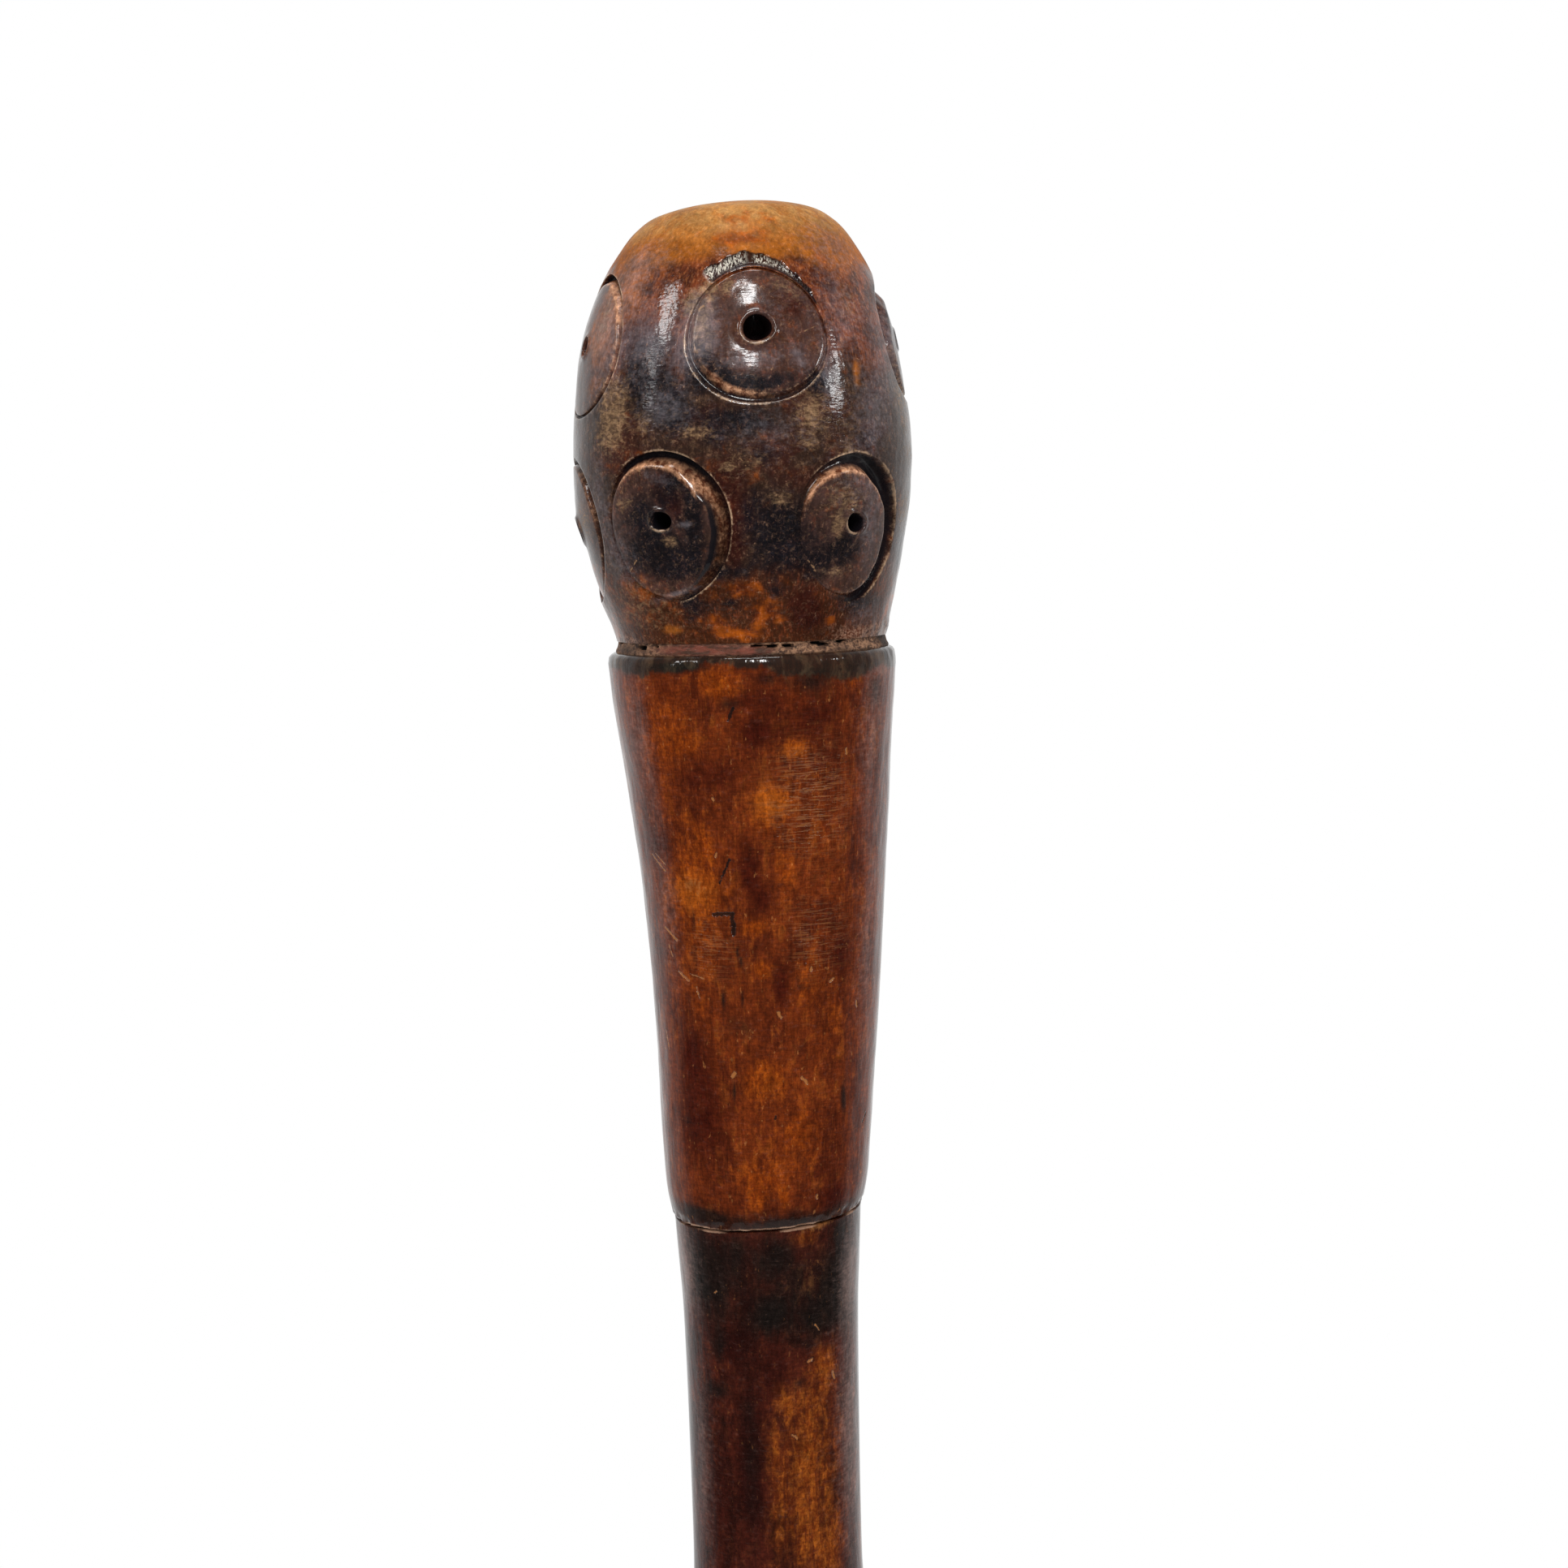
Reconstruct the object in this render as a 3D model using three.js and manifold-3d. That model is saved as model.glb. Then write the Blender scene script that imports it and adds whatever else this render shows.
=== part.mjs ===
// A walking cane with a root knob. The knob is the root bulb of a bamboo-like culm, with two
// staggered rows of carved eyes, each a root stub with its pith hole. Under it come a ring of old
// filler, a tapered grip section with a turned shoulder, and a long culm shaft with its natural
// nodes. A hardwood core carries the three, and a brass sleeve with an iron tip shoes the end.
// Millimetres. +Z runs up the cane, the front faces -Y and +X is to its right. The origin is the
// centre of the iron tip's flat bottom face.

import * as THREE from 'three';
import { mergeVertices } from 'three/addons/utils/BufferGeometryUtils.js';
import Module from 'manifold-3d';

const wasm = await Module();
wasm.setup();

// Stack of the cane
const caneLength = 900;
const knobHeight = 52.7;
const fillerHeight = 1.4;
const gripLength = 70;
const seamGap = 0.3;

// Root knob: its belly, its neck, how far it stands off the culm's line, and its askew crown
const knobRadius = 20.65;
const knobNeckRadius = 16.55;
const bellyHeight = 22.3;
const knobShift = 0.5;
const knobShiftRise = 7;
const crownLean = 1;
const crownHeight = 14;

// Carved eyes: the sizes of a full-grown one, and half of the space that two rows leave between
const eyeRadius = 8.3;
const eyeMargin = 2.6;
const grooveWidth = 1.5;
const grooveDepth = 0.9;
const pithRadius = 1.85;
const pithDepth = 4.5;
const pithPoint = 1;

// Filler ring in the neck
const fillerRadius = 16.35;
const fillerRoughness = 0.3;

// Grip section, from its shoulder down to the seam
const gripTopRadius = 16.9;
const shoulderRadius = 17.6;
const shoulderHeight = 1.9;
const gripEndRadius = 12.8;
const gripEndHeight = 5.3;
const seamRadius = 12;
const gripBow = 0.7;
const seamRise = 0.57;
const seamFade = 12;

// Shaft: its flare under the seam, its taper and its nodes
const shaftSeamRadius = 11.75;
const flareLength = 24;
const shaftTopRadius = 10.85;
const shaftTipRadius = 8.3;
const nodeRise = 0.9;
const nodeReach = 9;

// Hardwood core
const coreRadius = 5;
const coreInKnob = 24;
const coreInShaft = 44;
const coreEndGap = 0.6;

// Ferrule: iron tip, brass sleeve, plug and pins
const tipRadius = 7.2;
const tipHeight = 7;
const tipChamfer = 0.9;
const spigotHeight = 4;
const shankRadius = 1.6;
const shankLength = 16;
const shankPoint = 2;
const sleeveLength = 30;
const sleeveTopRadius = 8.1;
const sleeveWall = 0.6;
const beadRise = 0.45;
const beadHeight = 1.7;
const plugRadius = 3.4;
const plugLength = 30;
const pinRadius = 0.7;
const pinPoint = 0.6;
const pinHeadRadius = 1.5;
const pinHeadHeight = 0.7;
const pinHeight = 23;
const pinSeatGap = 0.15;

// Clearances
const fitGap = 0.3;
const cutOverrun = 1.2;
const weldTolerance = 1e-4;

// How many flat sides stand in for a full turn
const knobSides = 52;
const gripSides = 42;
const shaftSides = 26;
const rodSides = 20;
const pithSides = 12;
const grooveSides = 30;
const knobRings = 23;

// Outlines, as [share of the height, share of the radius step] from the lower end up
const knobLowerShares = [[0.11, 0.16], [0.29, 0.47], [0.47, 0.68], [0.65, 0.85], [0.82, 0.95]];
const knobUpperShares = [
  [0.13, 0.988], [0.26, 0.964], [0.385, 0.935], [0.51, 0.89], [0.64, 0.825],
  [0.74, 0.755], [0.835, 0.663], [0.9, 0.581], [0.95, 0.475], [0.985, 0.28],
];
const gripEndShares = [[0.3, 0.44], [0.6, 0.78]];
const gripTaperShares = [[0.13, 0.1], [0.3, 0.23], [0.46, 0.37], [0.63, 0.54], [0.79, 0.745], [0.92, 0.92]];
const shoulderShares = [[0.35, 0.9], [0.75, 0.55]];
const flareShares = [[0.48, 0.24], [0.7, 0.56], [0.84, 0.78]];
const fillerShares = [[0, 0.985], [0.35, 1], [0.75, 0.99], [1, 0.98]];
const beadShares = [[0, 0], [0.2, 0.75], [0.5, 1], [0.8, 0.75], [1, 0.1]];
const headShares = [[0.45, 0.85], [0.8, 0.5]];

// A node, as [share of its reach, share of its rise]: the ridge below, the sheath scar above it
const nodeShares = [
  [-1, 0], [-0.5, 0.3], [-0.22, 0.9], [-0.1, 1], [0, 0.35], [0.08, 0.6], [0.35, 0.2], [1, 0],
];

// Where the rows of eyes sit, as shares of the knob's height
const upperRowShare = 0.67;
const lowerRowShare = 0.256;

// Where the shaft's nodes sit, as shares of the way up from its end
const nodePlaceShares = [0.149, 0.289, 0.422, 0.548, 0.665, 0.769, 0.856, 0.932];

// Shares of a groove's width that its walls take: sloped on the disc's side, steep outside
const innerWallShare = 0.55;
const outerWallShare = 0.12;

// Bumps of the filler's crust round the ring, as [how many in a turn, phase in turns, share]
const crustShares = [[5, 0.1, 0.4], [11, 0.35, 0.35], [17, 0.7, 0.25]];

// The eyes. The azimuth is in degrees from the front towards the right, and the groove is deepest
// towards deepSide, in degrees from the right towards the top. The rest are shares: size of the
// eye's radius, lift of its half height, tall of its width, groove and pith of their own sizes, and
// a tilt of one brings the groove's shallow side up flush with the knob.
const upperEyeShares = [
  { azimuth: -70.5, deepSide: 80, size: 1.02, tall: 1, lift: 0, groove: 0.7, tilt: 0.3, pith: 0.55 },
  { azimuth: 7.3, deepSide: 115, size: 1.01, tall: 1, lift: 0.01, groove: 0.6, tilt: 0.25, pith: 1 },
  { azimuth: 89, deepSide: 100, size: 0.93, tall: 1, lift: 0, groove: 0.8, tilt: 0.35, pith: 0.6 },
  { azimuth: 187, deepSide: 60, size: 0.98, tall: 1.02, lift: -0.05, groove: 0.75, tilt: 0.6, pith: 0.8 },
];
const lowerEyeShares = [
  { azimuth: -83, deepSide: 15, size: 1.05, tall: 1, lift: 0, groove: 0.75, tilt: 0.9, pith: 0.7 },
  { azimuth: -27.5, deepSide: 25, size: 0.99, tall: 1.05, lift: 0.02, groove: 0.8, tilt: 0.97, pith: 0.6 },
  { azimuth: 41, deepSide: 20, size: 0.98, tall: 1.06, lift: -0.06, groove: 1, tilt: 0.85, pith: 0.8 },
  { azimuth: 116, deepSide: 150, size: 1, tall: 1.04, lift: 0.03, groove: 0.8, tilt: 0.9, pith: 0.7 },
  { azimuth: 193, deepSide: 10, size: 0.98, tall: 1.05, lift: 0, groove: 0.85, tilt: 0.93, pith: 0.6 },
];

// Heights worked out from the stack
const knobBase = caneLength - knobHeight;
const gripTop = knobBase - fillerHeight;
const seamHeight = gripTop - gripLength;
const shaftTop = seamHeight - seamGap;
const shaftEnd = tipHeight + spigotHeight + fitGap;
const sleeveTop = tipHeight + sleeveLength;
const shaftShoulder = sleeveTop + fitGap;
const bellyTop = knobBase + bellyHeight;
const upperRowHeight = knobHeight * upperRowShare;
const lowerRowHeight = knobHeight * lowerRowShare;
const eyeHalfHeight = (upperRowHeight - lowerRowHeight) / 2 - eyeMargin;

// Radii worked out from the fits
const coreBoreRadius = coreRadius + fitGap;
const plugBoreRadius = plugRadius + fitGap;
const shankBoreRadius = shankRadius + fitGap;
const pinBoreRadius = pinRadius + fitGap;

function lerp(from, to, share) {
  return from + (to - from) * share;
}

// Eases from zero to one
function ease(share) {
  const kept = THREE.MathUtils.clamp(share, 0, 1);
  return kept * kept * (3 - 2 * kept);
}

// Outer radius of the tapered sleeve at height z
function sleeveRadiusAt(z) {
  return lerp(tipRadius, sleeveTopRadius, (z - tipHeight) / sleeveLength);
}

// Radius of the shaft's turned seat inside the sleeve at height z
function seatRadiusAt(z) {
  return sleeveRadiusAt(z) - sleeveWall - fitGap;
}

// Radius of the shaft between its nodes at height z
function culmRadiusAt(z) {
  const share = (z - shaftShoulder) / (shaftTop - flareLength - shaftShoulder);
  return lerp(shaftTipRadius, shaftTopRadius, share);
}

// Points of an outline stretch, between a lower and an upper [radius, height]
function stretch(shares, [lowRadius, lowHeight], [highRadius, highHeight]) {
  return shares.map(([up, out]) => [lerp(lowRadius, highRadius, out), lerp(lowHeight, highHeight, up)]);
}

// The root knob's outline, from the neck to the crown, as [radius, height]
function knobOutline() {
  const neck = [knobNeckRadius, knobBase];
  const belly = [knobRadius, bellyTop];
  const upper = knobUpperShares.map(([up, out]) => [knobRadius * out, lerp(bellyTop, caneLength, up)]);
  const points = [neck, ...stretch(knobLowerShares, neck, belly), belly, ...upper, [0, caneLength]];
  const curve = new THREE.SplineCurve(points.map(([radius, height]) => new THREE.Vector2(radius, height)));
  return curve.getSpacedPoints(knobRings).map((point) => [Math.max(0, point.x), point.y]);
}

const knobPoints = knobOutline();

// Radius of the knob at height z
function knobRadiusAt(z) {
  const next = knobPoints.findIndex((point, index) => index > 0 && z <= point[1]);
  if (next < 0) return 0;
  const [lowRadius, lowHeight] = knobPoints[next - 1];
  const [highRadius, highHeight] = knobPoints[next];
  return lerp(lowRadius, highRadius, (z - lowHeight) / (highHeight - lowHeight));
}

// How far the culm's centre line stands to the right of the shaft's at height z
function centreLine(z) {
  if (z > knobBase) return -knobShift * ease((z - knobBase) / knobShiftRise);
  if (z > gripTop || z < seamHeight) return 0;
  return gripBow * Math.sin((Math.PI * (z - seamHeight)) / gripLength) ** 2;
}

// How far the askew seam and crown lift a point at x and height z
function slantAt(x, z) {
  const fromSeam = Math.max(0, Math.abs(z - seamHeight) - seamGap);
  const seamShare = Math.max(0, 1 - fromSeam / seamFade);
  const crownShare = ease((z - caneLength + crownHeight) / crownHeight);
  return seamRise * (x / seamRadius) * seamShare + crownLean * (x / knobRadius) * crownShare;
}

// Moves a point of the straight cane to its place on the grown one
function settle(point) {
  const slant = slantAt(point.x, point.z);
  point.x += centreLine(point.z);
  point.z += slant;
}

// Moves every vertex of a geometry by a function of its place
function reshape(geometry, move) {
  const position = geometry.attributes.position;
  const point = new THREE.Vector3();
  for (let i = 0; i < position.count; i += 1) {
    point.fromBufferAttribute(position, i);
    move(point);
    position.setXYZ(i, point.x, point.y, point.z);
  }
  return geometry;
}

// Turns an outline of [radius, height] points about the Z axis
function turned(outline, sides) {
  const points = outline.map(([radius, height]) => new THREE.Vector2(radius, height));
  return new THREE.LatheGeometry(points, sides).rotateX(Math.PI / 2);
}

// A closed geometry as a solid, with its vertices welded and its empty faces left out
function toSolid(geometry) {
  geometry.deleteAttribute('normal');
  geometry.deleteAttribute('uv');
  const welded = mergeVertices(geometry, weldTolerance);
  const corners = welded.index.array;
  const faces = [];
  for (let i = 0; i < corners.length; i += 3) {
    const [a, b, c] = corners.slice(i, i + 3);
    if (a !== b && b !== c && c !== a) faces.push(a, b, c);
  }
  const vertProperties = welded.attributes.position.array;
  const triVerts = new Uint32Array(faces);
  return new wasm.Manifold(new wasm.Mesh({ numProp: 3, vertProperties, triVerts }));
}

function toGeometry(solid) {
  const mesh = solid.getMesh();
  const geometry = new THREE.BufferGeometry();
  geometry.setAttribute('position', new THREE.BufferAttribute(mesh.vertProperties, 3));
  geometry.setIndex(new THREE.BufferAttribute(mesh.triVerts, 1));
  geometry.computeVertexNormals();
  return geometry;
}

// A round rod or bore cutter about the Z axis
function rod(radius, low, high, sides) {
  return toSolid(turned([[0, low], [radius, low], [radius, high], [0, high]], sides));
}

// Wraps an eye's cutter, made flat about the Z axis, onto the knob: X goes round it, Y goes up
function onKnob(geometry, eye, rowHeight) {
  const middle = knobBase + rowHeight + eyeHalfHeight * eye.lift;
  const stretchUp = eye.tall * (eyeHalfHeight / eyeRadius);
  const turn = THREE.MathUtils.degToRad(eye.azimuth);
  return reshape(geometry, (point) => {
    const angle = turn + point.x / knobRadiusAt(middle);
    const height = middle + point.y * stretchUp;
    const radius = knobRadiusAt(height) + point.z;
    point.set(radius * Math.sin(angle), -radius * Math.cos(angle), height);
    settle(point);
  });
}

// The groove round an eye, tilted so that one side runs out at the knob's surface
function grooveCutter(eye, rowHeight) {
  const outer = eyeRadius * eye.size;
  const width = grooveWidth * eye.groove;
  const inner = outer - width;
  const mouth = grooveDepth * eye.tilt + cutOverrun;
  const rise = mouth / grooveDepth;
  const section = [
    [inner + width * innerWallShare, -grooveDepth],
    [outer - width * outerWallShare, -grooveDepth],
    [outer + width * outerWallShare * rise, mouth],
    [inner - width * innerWallShare * rise, mouth],
    [inner + width * innerWallShare, -grooveDepth],
  ];
  const deepSide = THREE.MathUtils.degToRad(eye.deepSide);
  const ring = reshape(turned(section, grooveSides), (point) => {
    const around = Math.atan2(point.y, point.x);
    point.z -= grooveDepth * eye.tilt * Math.cos(around - deepSide);
  });
  return toSolid(onKnob(ring, eye, rowHeight));
}

// The pith hole in the middle of an eye, with a drilled point
function pithCutter(eye, rowHeight) {
  const radius = pithRadius * eye.pith;
  const outline = [[0, -pithDepth - pithPoint], [radius, -pithDepth], [radius, cutOverrun], [0, cutOverrun]];
  return toSolid(onKnob(turned(outline, pithSides), eye, rowHeight));
}

function carvedKnob() {
  let knob = toSolid(reshape(turned([[0, knobBase], ...knobPoints], knobSides), settle));
  const rows = [[upperEyeShares, upperRowHeight], [lowerEyeShares, lowerRowHeight]];
  for (const [eyes, rowHeight] of rows) {
    for (const eye of eyes) {
      knob = knob.subtract(grooveCutter(eye, rowHeight)).subtract(pithCutter(eye, rowHeight));
    }
  }
  const boreEnd = knobBase + coreInKnob + coreEndGap;
  return knob.subtract(rod(coreBoreRadius, knobBase - cutOverrun, boreEnd, rodSides));
}

// The crusty filler ring between the knob's base and the grip's top
function neckFiller() {
  const outer = fillerShares.map(([up, out]) => [fillerRadius * out, lerp(gripTop, knobBase, up)]);
  const section = [
    [coreBoreRadius, gripTop], ...outer, [coreBoreRadius, knobBase], [coreBoreRadius, gripTop],
  ];
  const middle = (coreBoreRadius + fillerRadius) / 2;
  const ring = reshape(turned(section, gripSides), (point) => {
    const radius = Math.hypot(point.x, point.y);
    if (radius < middle) return;
    const turns = Math.atan2(point.x, -point.y) / (2 * Math.PI);
    const wave = ([count, phase, share]) => share * Math.sin(2 * Math.PI * (count * turns + phase));
    const bump = crustShares.reduce((sum, row) => sum + wave(row), 0);
    const factor = 1 + (fillerRoughness * bump) / radius;
    point.x *= factor;
    point.y *= factor;
  });
  return toSolid(ring);
}

function gripSection() {
  const seam = [seamRadius, seamHeight];
  const end = [gripEndRadius, seamHeight + gripEndHeight];
  const shoulder = [shoulderRadius, gripTop - shoulderHeight];
  const rim = [gripTopRadius, gripTop];
  const rounded = shoulderShares.map(([up, out]) => [
    lerp(gripTopRadius, shoulderRadius, out), lerp(shoulder[1], gripTop, up),
  ]);
  const outline = [
    [0, seamHeight], seam, ...stretch(gripEndShares, seam, end), end,
    ...stretch(gripTaperShares, end, shoulder), shoulder, ...rounded, rim, [0, gripTop],
  ];
  const blank = toSolid(reshape(turned(outline, gripSides), settle));
  const low = seamHeight - seamRise - cutOverrun;
  return blank.subtract(rod(coreBoreRadius, low, gripTop + cutOverrun, rodSides));
}

function coreDowel() {
  return rod(coreRadius, shaftTop - coreInShaft, knobBase + coreInKnob, rodSides);
}

// The outline of one node of the shaft, centred at height z
function nodeOutline(z) {
  return nodeShares.map(([up, out]) => {
    const height = z + nodeReach * up;
    return [culmRadiusAt(height) + nodeRise * out, height];
  });
}

function shaft() {
  const flareStart = [shaftTopRadius, shaftTop - flareLength];
  const seam = [shaftSeamRadius, shaftTop];
  const nodes = nodePlaceShares.flatMap((share) => nodeOutline(lerp(shaftEnd, shaftTop, share)));
  const outline = [
    [0, shaftEnd], [seatRadiusAt(shaftEnd), shaftEnd], [seatRadiusAt(shaftShoulder), shaftShoulder],
    [shaftTipRadius, shaftShoulder], ...nodes,
    flareStart, ...stretch(flareShares, flareStart, seam), seam, [0, shaftTop],
  ];
  const coreLow = shaftTop - coreInShaft - coreEndGap;
  const plugHigh = shaftEnd + plugLength + fitGap;
  return toSolid(reshape(turned(outline, shaftSides), settle))
    .subtract(rod(coreBoreRadius, coreLow, shaftTop + seamRise + cutOverrun, rodSides))
    .subtract(rod(plugBoreRadius, shaftEnd - cutOverrun, plugHigh, rodSides))
    .subtract(pinBores());
}

function tipPlug() {
  const shankHigh = tipHeight + spigotHeight + shankLength + fitGap;
  return rod(plugRadius, shaftEnd, shaftEnd + plugLength, rodSides)
    .subtract(rod(shankBoreRadius, shaftEnd - cutOverrun, shankHigh, rodSides));
}

// The tapered brass sleeve, with a rolled bead at its mouth
function ferruleSleeve() {
  const beadLow = sleeveTop - beadHeight;
  const bead = beadShares.map(([up, out]) => {
    const height = lerp(beadLow, sleeveTop, up);
    return [sleeveRadiusAt(height) + beadRise * out, height];
  });
  const section = [
    [tipRadius - sleeveWall, tipHeight], [tipRadius, tipHeight], ...bead,
    [sleeveTopRadius - sleeveWall, sleeveTop], [tipRadius - sleeveWall, tipHeight],
  ];
  return toSolid(turned(section, shaftSides)).subtract(pinBores());
}

// The iron tip: a chamfered wear disc, a spigot in the sleeve and a shank in the plug
function ferruleTip() {
  const spigotTop = tipHeight + spigotHeight;
  const spigotRadius = seatRadiusAt(tipHeight);
  return toSolid(turned([
    [0, 0], [tipRadius - tipChamfer, 0], [tipRadius, tipChamfer], [tipRadius, tipHeight],
    [spigotRadius, tipHeight], [spigotRadius, spigotTop], [shankRadius, spigotTop],
    [shankRadius, spigotTop + shankLength - shankPoint], [0, spigotTop + shankLength],
  ], shaftSides));
}

// Where the ferrule's pins sit, and how deep they reach into the shaft's wall
const pinZ = tipHeight + pinHeight;
const pinSeatRadius = sleeveRadiusAt(pinZ + pinHeadRadius) + pinSeatGap;
const pinTipRadius = (seatRadiusAt(pinZ) + plugBoreRadius) / 2;

// Lays a geometry made about the Z axis along the front pin's line, and round to the back
function alongPin(geometry, isBack) {
  const laid = geometry.rotateX(Math.PI / 2).translate(0, 0, pinZ);
  return isBack ? laid.rotateZ(Math.PI) : laid;
}

// Both pin holes, from outside the sleeve to just past the pins' points
function pinBores() {
  const low = pinTipRadius - fitGap;
  const high = pinSeatRadius + cutOverrun;
  const outline = [[0, low], [pinBoreRadius, low], [pinBoreRadius, high], [0, high]];
  const [front, back] = [false, true].map((isBack) => toSolid(alongPin(turned(outline, pithSides), isBack)));
  return front.add(back);
}

// A brad with a low domed head
function ferrulePin(isBack) {
  const head = headShares.map(([up, out]) => [pinHeadRadius * out, pinSeatRadius + pinHeadHeight * up]);
  const outline = [
    [0, pinTipRadius], [pinRadius, pinTipRadius + pinPoint], [pinRadius, pinSeatRadius],
    [pinHeadRadius, pinSeatRadius], ...head, [0, pinSeatRadius + pinHeadHeight],
  ];
  return toSolid(alongPin(turned(outline, pithSides), isBack));
}

const rootWood = { color: 0x4a2413, roughness: 0.35, metalness: 0 };
const fillerCrust = { color: 0x5b4433, roughness: 0.85, metalness: 0 };
const gripWood = { color: 0x6e3011, roughness: 0.3, metalness: 0 };
const shaftWood = { color: 0x5c2a12, roughness: 0.32, metalness: 0 };
const hardwood = { color: 0xa9804f, roughness: 0.7, metalness: 0 };
const brass = { color: 0x9c7a3c, roughness: 0.4, metalness: 1 };
const iron = { color: 0x4b4744, roughness: 0.6, metalness: 1 };

const pieces = [
  ['carved_knob', carvedKnob(), rootWood],
  ['neck_filler', neckFiller(), fillerCrust],
  ['grip_section', gripSection(), gripWood],
  ['core_dowel', coreDowel(), hardwood],
  ['shaft', shaft(), shaftWood],
  ['tip_plug', tipPlug(), hardwood],
  ['ferrule_sleeve', ferruleSleeve(), brass],
  ['ferrule_tip', ferruleTip(), iron],
  ['ferrule_pin_front', ferrulePin(false), brass],
  ['ferrule_pin_back', ferrulePin(true), brass],
];

const cane = new THREE.Group();
cane.name = 'walking_cane';
for (const [name, solid, finish] of pieces) {
  const mesh = new THREE.Mesh(toGeometry(solid), new THREE.MeshStandardMaterial(finish));
  mesh.name = name;
  cane.add(mesh);
}

export default cane;
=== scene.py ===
"""Looks of a walking cane with a carved root knob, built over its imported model.

The cane is a bamboo-like culm stood on its thin end, with its root bulb up. The bulb carries two
rows of carved eyes, each a root stub with its pith hole. Under it come a ring of old filler, a
tapered grip section, a long shaft with the culm's nodes, and a pinned brass ferrule with an iron
tip. Sizes here are millimetres and azimuths are degrees, from the front towards the right, until
a mesh is made in the frame's metres. What shows in the photograph is placed by its pixels.
"""

import logging
import math
from dataclasses import dataclass, field
from enum import Enum

import bmesh
import bpy
import numpy as np
from mathutils import Matrix, Vector, noise


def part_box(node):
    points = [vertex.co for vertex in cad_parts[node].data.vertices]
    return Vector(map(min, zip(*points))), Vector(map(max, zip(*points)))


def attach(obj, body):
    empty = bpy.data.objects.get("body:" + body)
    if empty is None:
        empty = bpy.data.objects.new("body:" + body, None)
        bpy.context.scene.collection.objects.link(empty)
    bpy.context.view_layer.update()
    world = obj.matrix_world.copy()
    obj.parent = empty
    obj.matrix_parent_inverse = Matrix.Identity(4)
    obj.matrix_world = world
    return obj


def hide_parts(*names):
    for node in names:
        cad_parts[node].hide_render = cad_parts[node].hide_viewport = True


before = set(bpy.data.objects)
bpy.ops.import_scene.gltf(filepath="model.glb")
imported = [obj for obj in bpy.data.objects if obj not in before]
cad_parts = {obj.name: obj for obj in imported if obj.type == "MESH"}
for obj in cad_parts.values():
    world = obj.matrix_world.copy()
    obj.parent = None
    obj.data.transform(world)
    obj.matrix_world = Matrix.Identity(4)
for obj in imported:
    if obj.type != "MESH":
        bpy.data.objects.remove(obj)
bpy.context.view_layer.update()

LOG = logging.getLogger("cane")
MM = 0.001
BODY = "root"
MAP_SHARE, MAP_MARGIN = 0.98, 0.005
Array = np.ndarray
Pair = tuple[float, float]
Piece = bpy.types.Object
Finish = bpy.types.Material
Socket = bpy.types.NodeSocket


def linear(tint: str) -> tuple[float, float, float, float]:
    """Turns a written colour into the shader's linear one, with an alpha of one."""
    parts = [int(tint[i:i + 2], 16) / 255 for i in (1, 3, 5)]
    return (*[p / 12.92 if p <= 0.04045 else ((p + 0.055) / 1.055) ** 2.4 for p in parts], 1.0)


def ease(value: Array, low: float, high: float) -> Array:
    """Gives shares that go smoothly from zero at low to one at high, whichever is larger."""
    share = np.clip((np.asarray(value, float) - low) / (high - low), 0, 1)
    return share * share * (3 - 2 * share)


def wrapped(degrees: Array) -> Array:
    """Brings angles into the half turns either side of zero."""
    return (np.asarray(degrees, float) + 180) % 360 - 180


def lumps(points: Array, size: float, seed: float) -> Array:
    """Gives smooth bumps of about minus one to one and as wide as size, another set for each seed."""
    moved = points / size + np.array([seed * 7.31, seed * 3.17, seed * 5.77])
    return np.array([noise.noise(place) for place in moved.tolist()])


def between(low: Pair, high: Pair, shares: tuple[Pair, ...]) -> list[Pair]:
    """Places points between two others, by each one's share of the rise and of the radius."""
    return [(low[0] + (high[0] - low[0]) * out, low[1] + (high[1] - low[1]) * up) for up, out in shares]


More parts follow.
